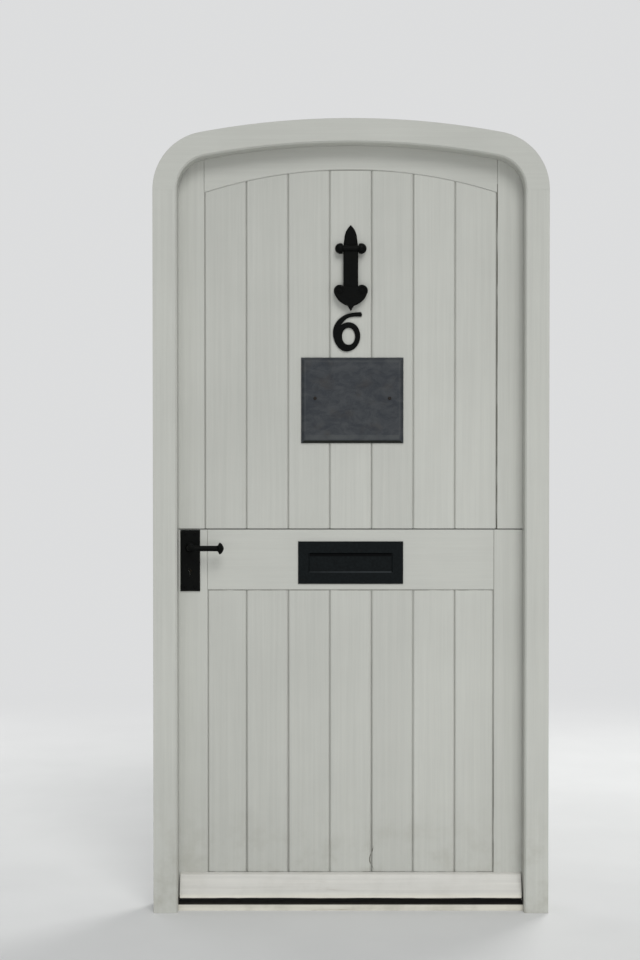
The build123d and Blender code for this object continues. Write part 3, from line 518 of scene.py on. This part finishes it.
def shoulder_seams(f):
    """A thin broken line where a rail's shoulders meet the stiles."""
    side = f.beyond(f.x, board_half[1])
    return f.product(near(f, side, 0.0, 0.5 * mm, 0.5 * mm), broken(f, (5, 5, 40), 0.4, 0.6, 0.1), 0.2)


def under_the_weatherboard(f):
    """Painted shade in the gap between weatherboard and sill, where little light reaches."""
    low = f.ramp(f.z, foot_low + 1.6 * mm, foot_low + 0.6 * mm)
    across = near(f, f.x, 0.0, opening_half + mm, mm)
    return f.product(low, across, f.ramp(f.y, *gap_shade_front),
                     f.maths("LESS_THAN", f.y, leaf_back - 2 * mm))


def wear_mask(f, turn):
    """Long scuffs along a member where the paint has gone thin."""
    streaks = f.noise(f.stretched((150, 150, 5), turn), detail=4, roughness=0.7)
    patches = f.noise(f.stretched((16, 16, 4), turn), detail=2)
    return f.product(f.ramp(streaks, 0.56, 0.68), f.ramp(patches, 0.48, 0.62))


def cast_iron(name, colour, grain=1.0, dust_and_highlight=0.10, gloss=0.05, marks=None):
    """Black-painted iron: a faintly uneven skin with dust and a painted highlight on its ledges, and a little rust.
    """
    f = Finish(name)
    lumps = f.noise(f.point, scale=170, detail=3, roughness=0.55)
    pits = f.noise(f.point, scale=900, detail=2)
    rust = f.noise(f.point, scale=38, detail=5, roughness=0.7)
    tint = f.tinted(colour, lumps, 0.3)
    tint = f.blend(f.product(f.ramp(rust, 0.6, 0.78), 0.35), tint, iron_rust)
    # Up-facing faces paler: dust and a painted highlight
    on_ledges = f.ramp(f.facing()[2], 0.3, 0.95)
    tint = f.blend(f.product(on_ledges, f.ramp(pits, 0.3, 0.7), dust_and_highlight), tint, iron_dust_and_highlight)
    if marks:
        tint = marks(f, tint)
    f.feed(f.surface["Base Color"], tint)
    f.feed(f.surface["Roughness"], f.ramp(lumps, 0.3, 0.7, 0.38, 0.55))
    f.surface["Specular IOR Level"].default_value = gloss
    f.feed(f.surface["Normal"], f.bump(f.sum(lumps, pits, 0.25), 0.30 * mm * grain, f.rounded(0.7 * mm)))
    return f.material


def letter_marks(f, tint):
    """Painted shade along the aperture's top, and a painted highlight on the bevel along its foot."""
    across = near(f, f.x, 0.0, aperture_half - 2 * mm, 3 * mm)
    set_back = f.ramp(f.y, letter_front + 0.2 * mm, letter_front + 0.8 * mm)
    # Painted shadow under the aperture's top edge
    shade = f.product(near(f, f.z, aperture_top, 4.5 * mm, 2.5 * mm), across, set_back)
    tint = f.blend(shade, tint, letter_shade)
    # Painted highlight on the foot's bevel, broken along it
    foot = f.product(near(f, f.z, aperture_foot - 1.5 * mm, 1.3 * mm, 0.7 * mm), across,
                     broken(f, (14, 3, 3), 0.35, 0.6, 0.35))
    return f.blend(foot, tint, letter_foot_highlight)


def slate_paler_mask(f):
    """Where the slate is paler: faintly just inside its bevels, and in a band above the lowest one."""
    low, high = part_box("slate_plaque")
    middle, half = (low + high) / 2, (high - low) / 2
    aside = f.beyond(f.maths("SUBTRACT", f.x, middle.x), half.x)
    along = f.beyond(f.maths("SUBTRACT", f.z, middle.z), half.z)
    inside = near(f, most(f, aside, along), -9.5 * mm, 1.2 * mm, 2 * mm)
    foot = f.product(near(f, f.z, low.z + 15 * mm, 3 * mm, 4 * mm), f.ramp(aside, -8 * mm, -12 * mm))
    # The paler share comes and goes in patches
    worn = broken(f, (20, 20, 20), 0.35, 0.6, 0.5)
    return f.product(most(f, f.product(inside, 0.25), f.product(foot, 0.6)), worn)


def riven_stone(name):
    """Split slate, with painted shade on its bevels, darkest on the one that faces down."""
    f = Finish(name)
    sheets = f.noise(f.stretched((24, 24, 38)), detail=7, roughness=0.66, distortion=0.5)
    speck = f.noise(f.point, scale=520, detail=3, roughness=0.7)
    patch = f.noise(f.point, scale=26, detail=4)
    tint = f.blend(f.ramp(sheets, 0.34, 0.66), slate_dark, slate_pale)
    tint = f.blend(f.ramp(patch, 0.5, 0.75, 0, 0.4), tint, slate_warm)
    tint = f.tinted(tint, speck, 0.12)
    tint = f.blend(slate_paler_mask(f), tint, slate_paler)
    # Bevels darkened as painted shade, most on the one facing down
    _, outwards, upwards = f.facing()
    rim = f.ramp(f.maths("ABSOLUTE", outwards), 0.95, 0.88)
    down = f.ramp(upwards, -0.2, -0.4, 0.2, 0.95)
    f.feed(f.surface["Base Color"], f.blend(f.product(rim, down), tint, slate_bevel_shade))
    f.feed(f.surface["Roughness"], f.ramp(speck, 0.3, 0.7, 0.50, 0.66))
    f.surface["Specular IOR Level"].default_value = 0.15
    height = f.sum(f.product(sheets, 0.8), speck, 0.2)
    f.feed(f.surface["Normal"], f.bump(height, 0.45 * mm, f.rounded(0.6 * mm)))
    return f.material


def dulled_steel(f):
    """Gives a finish the sheen of old steel, and returns the colour that goes with it."""
    dull = f.noise(f.point, scale=60, detail=4, roughness=0.6)
    f.surface["Metallic"].default_value = 1.0
    f.feed(f.surface["Roughness"], f.ramp(dull, 0.35, 0.7, 0.30, 0.50))
    return f.blend(f.ramp(dull, 0.42, 0.66), steel_grey, steel_dull)


def satin_steel(name):
    """Drawn steel with fine lines."""
    f = Finish(name)
    f.feed(f.surface["Base Color"], dulled_steel(f))
    drawn = f.noise(f.stretched((1400, 1400, 40)), detail=2)
    f.feed(f.surface["Normal"], f.bump(drawn, 0.03 * mm, f.rounded(0.4 * mm)))
    return f.material


def lock_body(name):
    """The lock's steel, darkened as painted shade where the key goes in, as it shows through the keyhole."""
    f = Finish(name)
    at_key = f.product(near(f, f.x, lock_line, 7 * mm, 3 * mm), near(f, f.z, key_level, 12 * mm, 4 * mm))
    # Painted shade behind the keyhole
    f.feed(f.surface["Base Color"], f.blend(at_key, dulled_steel(f), painted_shade_dark))
    return f.material


def dark_steel(name):
    """Stained steel, nearly black."""
    f = Finish(name)
    stain = f.noise(f.point, scale=700, detail=3)
    f.feed(f.surface["Base Color"], f.tinted(screw_brown, stain, 0.4))
    f.surface["Metallic"].default_value = 0.7
    f.feed(f.surface["Roughness"], f.ramp(stain, 0.3, 0.7, 0.40, 0.58))
    f.feed(f.surface["Normal"], f.bump(stain, 0.05 * mm, f.rounded(0.3 * mm)))
    return f.material


# Screws, modelled once at the origin with the head towards -Y, and copied

slot_floor = 0.45  # share of a head's height that is left under its slot
plaque_head = 4.2 * mm  # radius
hinge_screw_rows = ((0.14, 18 * mm), (0.5, 10 * mm), (0.86, 18 * mm))  # share of the plate's height, and way in
ledge_screw_rows = ((0.25, -24 * mm), (0.75, 24 * mm))  # share of the ledge's height, and shift along it
brace_screw_shift = 17 * mm
brace_screw_rise = 0.35  # of the shift
stable_plate = 3 * mm


def screw_head(name, radius, height, rise, slot_width=0.0, shank=None):
    """A round head with its underside at y 0. The rise is how much of its height is dome."""
    deselect_all()
    bpy.ops.mesh.primitive_cylinder_add(vertices=20, radius=radius, depth=height,
                                        location=(0, -height / 2, 0), rotation=(pi / 2, 0, 0))
    head = settle(name)
    mesh = edit(head)
    pick_edges(head, mesh, lambda a, b: max(a.y, b.y) < -0.9 * height)
    bpy.ops.mesh.bevel(offset=rise, segments=3, profile=0.6)
    done()
    if slot_width:
        half = slot_width / 2
        cutter = block("slot", (-half, -2 * height, -2 * radius), (half, -slot_floor * height, 2 * radius))
        apply_modifier(head, "BOOLEAN", object=cutter, operation="DIFFERENCE")
        bpy.data.objects.remove(cutter)
    if shank:
        shank_radius, length = shank
        deselect_all()
        bpy.ops.mesh.primitive_cylinder_add(vertices=12, radius=shank_radius, depth=length,
                                            location=(0, length / 2, 0), rotation=(pi / 2, 0, 0))
        settle("shank")
        head.select_set(True)
        bpy.context.view_layer.objects.active = head
        bpy.ops.object.join()
    smooth(head, 40)
    return head


def set_out(template, name, places):
    """Copies of a screw joined into one piece. A place is a point and the turn that the head faces."""
    copies = []
    for point, facing in places:
        one = bpy.data.objects.new(name, template.data.copy())
        bpy.context.scene.collection.objects.link(one)
        slot_turn = Matrix.Rotation(chance.uniform(0, pi), 4, "Y")
        one.data.transform(Matrix.Translation(point) @ Matrix.Rotation(facing, 4, "Z") @ slot_turn)
        copies.append(one)
    make_active(copies[0])
    for one in copies:
        one.select_set(True)
    bpy.ops.object.join()
    return copies[0]


to_front, to_back, to_left, to_right = 0.0, pi, -pi / 2, pi / 2


def corners_on(node, inset_x, inset_z, y):
    """Four places near the corners of a plate that lies in the leaf's plane."""
    low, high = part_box(node)
    return [Vector((x, y, z)) for x in (low.x + inset_x, high.x - inset_x)
            for z in (low.z + inset_z, high.z - inset_z)]


def lever_plate_screws(head, iron):
    """A screw near each corner of the two plates that the levers turn in."""
    places = []
    for node, facing in (("outer_backplate", to_front), ("inner_backplate", to_back)):
        low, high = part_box(node)
        face = low.y if facing == to_front else high.y
        places += [(p, facing) for p in corners_on(node, inset_x=12 * mm, inset_z=10 * mm, y=face)]
    screws = set_out(head, "slotted_plate_screws", places)
    hand_over(screws, "lower_leaf", "black_iron", iron, "backplate_screws")


def plaque_fixings(head, metal):
    """One screw on either side of the plaque's middle, where the plain ones are."""
    low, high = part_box("plaque_screws")
    middle = (low.z + high.z) / 2
    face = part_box("slate_plaque")[0].y
    places = [(Vector((x, face, middle)), to_front) for x in (low.x + plaque_head, high.x - plaque_head)]
    screws = set_out(head, "slotted_plaque_screws", places)
    hand_over(screws, "upper_leaf", "dark_screw", metal, "plaque_screws")


def hinge_screws(head, steel):
    """Three screws in each hinge plate, staggered, on the faces that meet when the leaf is closed."""
    groups = {"frame": [], "upper_leaf": [], "lower_leaf": []}
    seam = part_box("hinge_pins")[0].x + 5 * mm  # midway between leaf and frame
    for leaf in ("upper", "lower"):
        for place in ("top", "bottom"):
            for side, body, x, facing in (("leaf", f"{leaf}_leaf", seam - edge_gap / 2, to_right),
                                          ("frame", "frame", seam + edge_gap / 2, to_left)):
                low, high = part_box(f"{leaf}_{place}_hinge_{side}_plate")
                for rise, way_in in hinge_screw_rows:
                    z = low.z + rise * (high.z - low.z)
                    groups[body].append((Vector((x, low.y + way_in, z)), facing))
    for body, places in groups.items():
        hand_over(set_out(head, f"hinge_screws_{body}", places), body, "lock_steel", steel)


def lock_screws(head, steel):
    """Two screws in the lock's forend and two in the keep, on the middle of the leaf's thickness."""
    y = (leaf_front + leaf_back) / 2
    low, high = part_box("lock_case")
    forend = [(Vector((low.x, y, z)), to_left) for z in (low.z + 6 * mm, high.z - 6 * mm)]
    hand_over(set_out(head, "forend_screws", forend), "lower_leaf", "lock_steel", steel)
    low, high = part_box("lock_keep")
    keep = [(Vector((high.x, y, z)), to_right) for z in (low.z + 7 * mm, high.z - 7 * mm)]
    hand_over(set_out(head, "keep_screws", keep), "frame", "lock_steel", steel)


def inside_plate_screws(head, iron):
    """Screws in the inner letter frame and in the stable bolt's plate and keep."""
    low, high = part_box("inner_letter_frame")
    middle = (low.z + high.z) / 2
    letter = [(Vector((x, high.y, z)), to_back) for x in (low.x + 7 * mm, high.x - 7 * mm)
              for z in (middle - 26 * mm, middle + 26 * mm)]
    face = leaf_back + stable_plate
    low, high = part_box("stable_bolt_keep")
    keep = [(Vector((x, face, (low.z + high.z) / 2)), to_back) for x in (low.x + 4.6 * mm, high.x - 4.6 * mm)]
    hand_over(set_out(head, "inner_letter_frame_screws", letter), "lower_leaf", "black_iron", iron)
    hand_over(set_out(head, "stable_keep_screws", keep), "lower_leaf", "black_iron", iron)
    plate = [(p, to_back) for from_end in (6 * mm, 48 * mm)
             for p in corners_on("stable_bolt_plate", inset_x=5.5 * mm, inset_z=from_end, y=face)]
    hand_over(set_out(head, "stable_plate_screws", plate), "upper_leaf", "black_iron", iron)


def ledge_fixings(head, paint):
    """Painted-over heads where ledge and brace are screwed to each board, on the inside."""
    for leaf in ("upper", "lower"):
        ledge_low, ledge_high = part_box(f"{leaf}_bottom_ledge")
        brace_low, brace_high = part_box(f"{leaf}_brace")
        places = []
        for board in range(-3, 4):
            x = board * board_pitch
            way = 1 if board % 2 else -1
            for rise, shift in ledge_screw_rows:
                z = ledge_low.z + rise * (ledge_high.z - ledge_low.z)
                places.append((Vector((x + way * shift, leaf_back, z)), to_back))
            along = (brace_high.x - brace_width / 2 - x) / (brace_high.x - brace_low.x - brace_width)
            z = brace_low.z + along * (brace_high.z - brace_low.z)
            if 0.02 < along < 0.98:
                for shift in (-brace_screw_shift, brace_screw_shift):
                    places.append((Vector((x + shift, leaf_back, z + brace_screw_rise * shift)), to_back))
        hand_over(set_out(head, f"{leaf}_ledge_screws", places), f"{leaf}_leaf", "leaf_paint", paint)


# Levers

bulb_root = 67.5 * mm  # from the spindle to where the neck ends and the bulb starts
bulb_length = 17 * mm
bulb_widest = 0.42  # share of its length
bulb_radius = 14.4 * mm
rod_radius = 6.8 * mm


def bulb_profile(share):
    """The bulb's radius part way along it: a flare that turns smoothly into a dome."""
    if share < bulb_widest:
        part = share / bulb_widest
        flare = (part * part * (3 - 2 * part)) ** 1.8
        return rod_radius + (bulb_radius - rod_radius) * flare
    part = min(1, 0.98 * (share - bulb_widest) / (1 - bulb_widest))
    return bulb_radius * (1 - part ** 1.7) ** 0.65


def worn_lever(node, iron):
    """A lever whose bulb has lost its sharp ring to paint and hands."""
    piece = copy_of_node(node, f"worn_{node}")
    root = lock_line + bulb_root
    ends = [v.co for v in piece.data.vertices if v.co.x > root]
    axis_y = (min(p.y for p in ends) + max(p.y for p in ends)) / 2
    axis_z = (min(p.z for p in ends) + max(p.z for p in ends)) / 2
    for vertex in piece.data.vertices:
        at = vertex.co
        away = Vector((0, at.y - axis_y, at.z - axis_z))
        share = (at.x - root) / bulb_length
        if 0 < share < 0.999 and away.length > mm:
            away *= bulb_profile(share) / away.length
            at.y, at.z = axis_y + away.y, axis_z + away.z
    smooth(piece, 45)
    hand_over(piece, "lever_set", "black_iron", iron, node)


# House number

number_depth = 5 * mm
number_round = 1.1 * mm
number_middle = -10.5 * mm
number_foot = 1365 * mm
# Each point of an outline is its place in millimetres from the foot of the bowl, the way that the line leaves it,
# and how far its two handles reach
number_outer = [
    ((34.5, 96), (-1, -0.02), (4, 12)),
    ((4, 92), (-0.97, -0.25), (12, 16)),
    ((-33, 48), (-0.04, -1), (24, 24)),
    ((0, 0), (1, 0), (18, 18)),
    ((34, 37), (0, 1), (20, 20)),
    ((6, 71.5), (-1, 0.02), (16, 12)),
    ((-14.5, 63), (-0.75, -0.65), (4, 0)),
    ((7, 83), (0.96, 0.28), (12, 9)),
    ((35.5, 85), (1, -0.02), (12, 4)),
]
number_counter = [
    ((5.5, 57.5), (1, 0), (10, 9)),
    ((21, 37), (0, -1), (12, 12)),
    ((5.5, 16.5), (-1, 0), (9, 9)),
    ((-10.5, 37), (0, 1), (12, 12)),
]
number_pin_places = ((1.5 * mm, 8 * mm), (-8 * mm, 83 * mm))


def bezier_line(curve, points):
    """Adds a closed line through points with the given directions and handle lengths."""
    line = curve.splines.new("BEZIER")
    line.bezier_points.add(len(points) - 1)
    line.use_cyclic_u = True
    for knot, (place, way, reach) in zip(line.bezier_points, points):
        at, along = Vector((*place, 0)) * mm, Vector((*way, 0)).normalized() * mm
        knot.handle_left_type = knot.handle_right_type = "FREE"
        knot.co = at
        knot.handle_left = at - along * reach[0]
        knot.handle_right = at + along * reach[1]


def house_number(iron):
    """A plain figure six, cast with softened edges and fixed flat to the boards."""
    curve = bpy.data.curves.new("house_number", "CURVE")
    curve.dimensions = "2D"
    curve.fill_mode = "BOTH"
    curve.resolution_u = 14
    bezier_line(curve, number_outer)
    bezier_line(curve, number_counter)
    curve.extrude = number_depth / 2 - number_round
    curve.bevel_depth = number_round
    curve.bevel_resolution = 3
    curve.offset = -number_round
    figure = bpy.data.objects.new("house_number", curve)
    bpy.context.scene.collection.objects.link(figure)
    make_active(figure)
    bpy.ops.object.convert(target="MESH")
    figure = bpy.context.active_object
    figure.rotation_euler = (pi / 2, 0, 0)
    figure.location = (number_middle, board_front - number_depth / 2, number_foot)
    settle("house_number")
    edit(figure, "SELECT")
    bpy.ops.mesh.remove_doubles(threshold=merged)
    bpy.ops.mesh.normals_make_consistent(inside=False)
    done()
    smooth(figure, 40)
    hand_over(figure, "upper_leaf", "black_iron", iron)


def number_pins(head, iron):
    """Two pins that hold the figure, in its bowl's foot and in its shoulder."""
    face = board_front - number_depth
    places = [(Vector((number_middle + x, face, number_foot + z)), to_front) for x, z in number_pin_places]
    hand_over(set_out(head, "number_pins", places), "upper_leaf", "black_iron", iron)


# Slate plaque

slate_cell = 3 * mm
slate_sheets = 3.2  # layers that the split runs through
slate_step = 0.30 * mm
slate_grain = 0.25 * mm
slate_bite = 0.8 * mm
slate_bevel = (8 * mm, 4.5 * mm)  # width and depth


def riven_slate(stone):
    """The plaque as split stone: shallow terraces on its face and nibbled edges."""
    low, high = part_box("slate_plaque")
    piece = block("riven_slate", low, high)
    mesh = edit(piece)
    pick_faces(piece, mesh, lambda at, normal: normal.y < -0.9)
    bpy.ops.mesh.inset(thickness=slate_bevel[0])
    pick_edges(piece, mesh, lambda a, b: all(p.y < low.y + mm and is_on_rim(p, low, high) for p in (a, b)))
    bpy.ops.transform.translate(value=(0, slate_bevel[1], 0))
    slice_across(steps(low.x, high.x, slate_cell), (1, 0, 0))
    slice_across(steps(low.z, high.z, slate_cell), (0, 0, 1))
    slice_across([low.y + slate_bevel[1] / 2], (0, 1, 0))
    done()
    for vertex in piece.data.vertices:
        at = vertex.co
        if at.y < high.y - mm:
            at.y += cleft(at) * min(1, (high.y - at.y) / slate_bevel[1])
            nibble(at, low, high)
    smooth(piece, 50)
    hand_over(piece, "upper_leaf", "slate", stone, "slate_plaque")


def is_on_rim(at, low, high):
    """Whether a point lies on the plaque's outline."""
    edge = min(at.x - low.x, high.x - at.x, at.z - low.z, high.z - at.z)
    return edge < 0.1 * mm


def cleft(at):
    """How far the split face lies behind the flattest one, at a point."""
    sheet = slate_sheets * (0.5 + noise.noise(Vector((at.x * 13, at.z * 19, 2.4))))
    part = sheet - floor(sheet)
    step = floor(sheet) + part ** 4
    grain = 0.5 + 0.5 * noise.noise(Vector((at.x * 90, at.z * 120, 7.1)))
    return max(0, slate_step * step + slate_grain * grain)


def nibble(at, low, high):
    """Moves a point near the plaque's edge inwards a little, unevenly."""
    bite = slate_bite * (max(0, noise.noise(at * 75)) + 0.5 * max(0, noise.noise(at * 260)))
    middle = (low + high) / 2
    if min(at.x - low.x, high.x - at.x) < slate_bevel[0] / 2:
        at.x += bite if at.x < middle.x else -bite
    if min(at.z - low.z, high.z - at.z) < slate_bevel[0] / 2:
        at.z += bite if at.z < middle.z else -bite


# Weatherboard

foot_cell = 9 * mm
foot_arris = 1.3 * mm
foot_wear = 0.9 * mm  # at most, upwards from its foot
foot_worn_height = 16 * mm
foot_face_wear = 0.7 * mm  # at most, inwards from its front
foot_face_depth = 9 * mm  # from the leaf's face to where the wear is full


def worn_weatherboard(paint):
    """The weatherboard with rounded arrises and a slightly uneven foot, as timber wears."""
    piece = copy_of_node("weatherboard", "worn_weatherboard")
    low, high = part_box("weatherboard")
    apply_modifier(piece, "BEVEL", width=foot_arris, segments=3, limit_method="ANGLE", angle_limit=radians(25))
    edit(piece)
    slice_across(steps(low.x, high.x, foot_cell), (1, 0, 0))
    done()
    for vertex in piece.data.vertices:
        at = vertex.co
        lip = max(0, 1 - (at.z - low.z) / foot_worn_height)
        wave = 0.5 + noise.noise(Vector((at.x * 7, 0.3, 0))) + 0.5 * noise.noise(Vector((at.x * 31, 5, 0)))
        at.z += lip * foot_wear * max(0, wave)
        front = min(1, max(0, (leaf_front - at.y) / foot_face_depth))
        at.y += front * foot_face_wear * max(0, 0.4 + noise.noise(Vector((at.x * 9, 2, at.z * 20))))
    smooth(piece, 40)
    hand_over(piece, "lower_leaf", "leaf_paint", paint, "weatherboard")


# Where the leaves meet

fillet_inset = 3 * mm  # short of the leaf's edges
fillet_depth = 20 * mm  # from the leaf's inside to the fillet's front
fillet_width = 6 * mm
fillet_lift = 0.5 * mm  # above the lower leaf
fillet_nose = 1.6 * mm
fillet_wave = 0.3 * mm
fillet_cell = 60 * mm


def meeting_fillet(paint):
    """A thin round-nosed fillet under the upper leaf's foot, so that no daylight shows between the leaves."""
    left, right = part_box("upper_closing_stile")[0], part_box("upper_hinge_stile")[1]
    low = Vector((left.x + fillet_inset, leaf_back - fillet_depth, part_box("mid_rail")[1].z + fillet_lift))
    high = Vector((right.x - fillet_inset, low.y + fillet_width, left.z))
    piece = block("meeting_fillet", low, high)
    mesh = edit(piece)
    pick_edges(piece, mesh, lambda a, b: max(a.z, b.z) < low.z + 0.1 * mm and abs(a.y - b.y) < 0.1 * mm)
    bpy.ops.mesh.bevel(offset=fillet_nose, segments=3)
    slice_across(steps(low.x, high.x, fillet_cell), (1, 0, 0))
    done()
    for vertex in piece.data.vertices:
        at = vertex.co
        if at.z < high.z - 0.1 * mm:
            at.z += fillet_wave * max(0, noise.noise(Vector((at.x * 9, 4, 0))))
    smooth(piece, 40)
    hand_over(piece, "upper_leaf", "leaf_paint", paint)


# Setting, light and camera

floor_radius = 30
floor_fade = (1.6, 4.2)  # from the door, where the floor starts to fade and where it has gone
sky_strength = 0.42


def setting():
    """A pale floor whose far part fades into the room, so that no horizon shows."""
    deselect_all()
    bpy.ops.mesh.primitive_circle_add(vertices=96, radius=floor_radius, fill_type="NGON")
    ground = settle("floor")
    f = Finish("pale_floor")
    clouds = f.noise(f.point, scale=3, detail=3)
    f.feed(f.surface["Base Color"], f.tinted(floor_grey, clouds, 0.02))
    f.surface["Roughness"].default_value = 0.8
    f.surface["Specular IOR Level"].default_value = 0.1
    away = f.node("ShaderNodeVectorMath", operation="LENGTH")
    f.feed(away.inputs[0], f.point)
    room = f.node("ShaderNodeEmission")
    f.feed(room.inputs["Color"], room_grey)
    mixed = f.mixed(f.ramp(away.outputs["Value"], *floor_fade), f.tree.nodes["Principled BSDF"].outputs[0],
                    room.outputs[0])
    f.feed(f.tree.nodes["Material Output"].inputs["Surface"], mixed)
    ground.data.materials.append(f.material)


def surroundings():
    """An even sky that lights the door, seen as the room's pale grey by the camera, gloss and glass."""
    world = bpy.data.worlds.new("room")
    world.use_nodes = True
    w = Shading(world.node_tree)
    ray = w.node("ShaderNodeLightPath").outputs
    through = w.maths("MAXIMUM", ray["Is Glossy Ray"], ray["Is Transmission Ray"])
    seen = w.maths("MAXIMUM", ray["Is Camera Ray"], through)
    sky = w.tree.nodes["Background"]
    w.feed(sky.inputs["Color"], sky_white)
    w.feed(sky.inputs["Strength"], sky_strength)
    room = w.node("ShaderNodeBackground")
    w.feed(room.inputs["Color"], room_grey)
    mixed = w.mixed(seen, sky.outputs[0], room.outputs[0])
    w.feed(w.tree.nodes["World Output"].inputs["Surface"], mixed)
    bpy.context.scene.world = world


def lamp(name, place, aim, size, watts):
    """A round lamp at a place, turned to a point."""
    light = bpy.data.lights.new(name, "AREA")
    light.shape = "DISK"
    light.size = size
    light.energy = watts
    lit = bpy.data.objects.new(name, light)
    lit.location = place
    lit.rotation_mode = "QUATERNION"
    lit.rotation_quaternion = (Vector(aim) - Vector(place)).to_track_quat("-Z", "Y")
    bpy.context.scene.collection.objects.link(lit)


def daylight(strength, from_right, height, softness):
    """Even light from far off. Its place, right of the camera and above the level, and its spread are in degrees."""
    light = bpy.data.lights.new("daylight", "SUN")
    light.energy = strength
    light.angle = radians(softness)
    sun = bpy.data.objects.new("daylight", light)
    sun.rotation_euler = (radians(90 - height), 0, radians(from_right))
    bpy.context.scene.collection.objects.link(sun)


def lamps():
    """Soft daylight from above the camera, two low fills, and two lamps for the inside."""
    middle, low = (0, 0, 0.95), (0, 0, 0.5)
    daylight(strength=1.35, from_right=12, height=38, softness=30)
    lamp("fill", (-1.4, -4.0, 0.45), aim=low, size=2.6, watts=10)
    lamp("low_fill", (0.5, -2.6, 0.25), aim=low, size=1.6, watts=13)
    lamp("inside_daylight", (2.0, 3.0, 3.1), aim=middle, size=2.2, watts=85)
    lamp("inside_fill", (-2.6, 2.8, 1.4), aim=middle, size=2.6, watts=26)


def viewpoint():
    """The camera, level but for its tilt and square to the door."""
    lens = bpy.data.cameras.new("camera")
    lens.lens = camera_lens
    lens.sensor_width = sensor_width
    camera = bpy.data.objects.new("camera", lens)
    camera.location = camera_place
    camera.rotation_euler = (radians(90 + camera_tilt), 0, 0)
    bpy.context.scene.collection.objects.link(camera)
    bpy.context.scene.camera = camera


# Putting it together

def brace_turn(node):
    """How far a brace leans from upright."""
    low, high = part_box(node)
    return atan2(high.x - low.x - brace_width, high.z - low.z)


def dress(material, *names):
    for name in names:
        nodes[name].data.materials.clear()
        nodes[name].data.materials.append(material)


def finishes():
    """The door's materials by a short name."""
    lying = {"turn": pi / 2, "streak": 0.02}
    weathered = {"turn": pi / 2, "streak": 0.05}
    return {
        "upright": painted("sage_paint_upright", sage, seams=stile_seams),
        "level": painted("sage_paint_level", sage, **lying),
        "rail": painted("sage_paint_rail", sage, seams=shoulder_seams, **lying),
        "boards": painted("sage_paint_boards", sage, seams=board_seams, boarded=True),
        "foot": painted("weathered_paint", foot_sage, foot_dirt=0.15, worn=0.25, lip=lip_highlight_cream, **weathered),
        "jambs": painted("frame_paint_upright", sage, foot_dirt=0.45),
        "head": painted("frame_paint_level", sage, **lying),
        "sill": painted("sill_paint", sill_grey, foot_dirt=0.3, worn=0.8, **weathered),
        "iron": cast_iron("black_iron", iron_black),
        "letter_iron": cast_iron("letterplate_black", letter_black, grain=0.35, dust_and_highlight=0.25, gloss=0.03,
                                 marks=letter_marks),
        "steel": satin_steel("lock_steel"),
        "lock": lock_body("lock_case_steel"),
        "dark_screw": dark_steel("dark_screw"),
        "slate": riven_stone("riven_slate"),
    }


def dress_nodes(look):
    """Gives each CAD node that shows as it is its material."""
    dress(look["jambs"], "left_jamb", "right_jamb")
    dress(look["head"], "arched_head")
    dress(look["sill"], "sill")
    for leaf in ("upper", "lower"):
        dress(look["upright"], f"{leaf}_hinge_stile", f"{leaf}_closing_stile")
        dress(look["level"], f"{leaf}_bottom_ledge")
        dress(look["boards"], *[f"{leaf}_board_{i}" for i in range(1, 8)])
        lean = brace_turn(f"{leaf}_brace")
        dress(painted(f"sage_paint_{leaf}_brace", sage, turn=lean), f"{leaf}_brace")
        for place in ("top", "bottom"):
            dress(look["steel"], f"{leaf}_{place}_hinge_leaf_plate", f"{leaf}_{place}_hinge_frame_plate")
    dress(look["level"], "arched_top_rail")
    dress(look["rail"], "mid_rail")
    dress(look["steel"], "hinge_pins", "lock_keep", "latch_bolt", "dead_bolt", "lever_spindle")
    dress(look["lock"], "lock_case")
    dress(look["iron"], "outer_backplate", "inner_backplate", "knocker_backplate", "knocker_arm", "knocker_pin",
          "knocker_stud", "stable_bolt_plate", "stable_bolt_keep", "stable_bolt_rod", "inner_letter_frame")
    dress(look["letter_iron"], "letterplate", "letter_flap")


def add_pieces(look):
    """The pieces that are modelled here. The order of the screws settles the turn of each slot, drawn one by one."""
    iron, steel = look["iron"], look["steel"]
    round_head = screw_head("round_head", radius=plaque_head, height=1.8 * mm, rise=1.1 * mm, slot_width=1.0 * mm,
                            shank=(2 * mm, 11 * mm))
    flat_head = screw_head("flat_head", radius=3.9 * mm, height=0.5 * mm, rise=0.2 * mm, slot_width=0.9 * mm)
    small_head = screw_head("small_head", radius=3.0 * mm, height=1.3 * mm, rise=0.8 * mm, slot_width=0.8 * mm)
    painted_head = screw_head("painted_head", radius=4.6 * mm, height=0.6 * mm, rise=0.45 * mm)
    pin_head = screw_head("pin_head", radius=2.2 * mm, height=0.9 * mm, rise=0.7 * mm)
    lever_plate_screws(round_head, iron)
    plaque_fixings(round_head, look["dark_screw"])
    hinge_screws(flat_head, steel)
    lock_screws(flat_head, steel)
    inside_plate_screws(small_head, iron)
    ledge_fixings(painted_head, look["level"])
    worn_lever("outer_lever", iron)
    worn_lever("inner_lever", iron)
    house_number(iron)
    number_pins(pin_head, iron)
    for template in (round_head, flat_head, small_head, painted_head, pin_head):
        bpy.data.objects.remove(template)
    riven_slate(look["slate"])
    worn_weatherboard(look["foot"])
    meeting_fillet(look["level"])


def main():
    bpy.context.scene.view_settings.view_transform = "Standard"
    look = finishes()
    dress_nodes(look)
    add_pieces(look)
    setting()
    surroundings()
    lamps()
    viewpoint()


main()
bpy.context.view_layer.update()
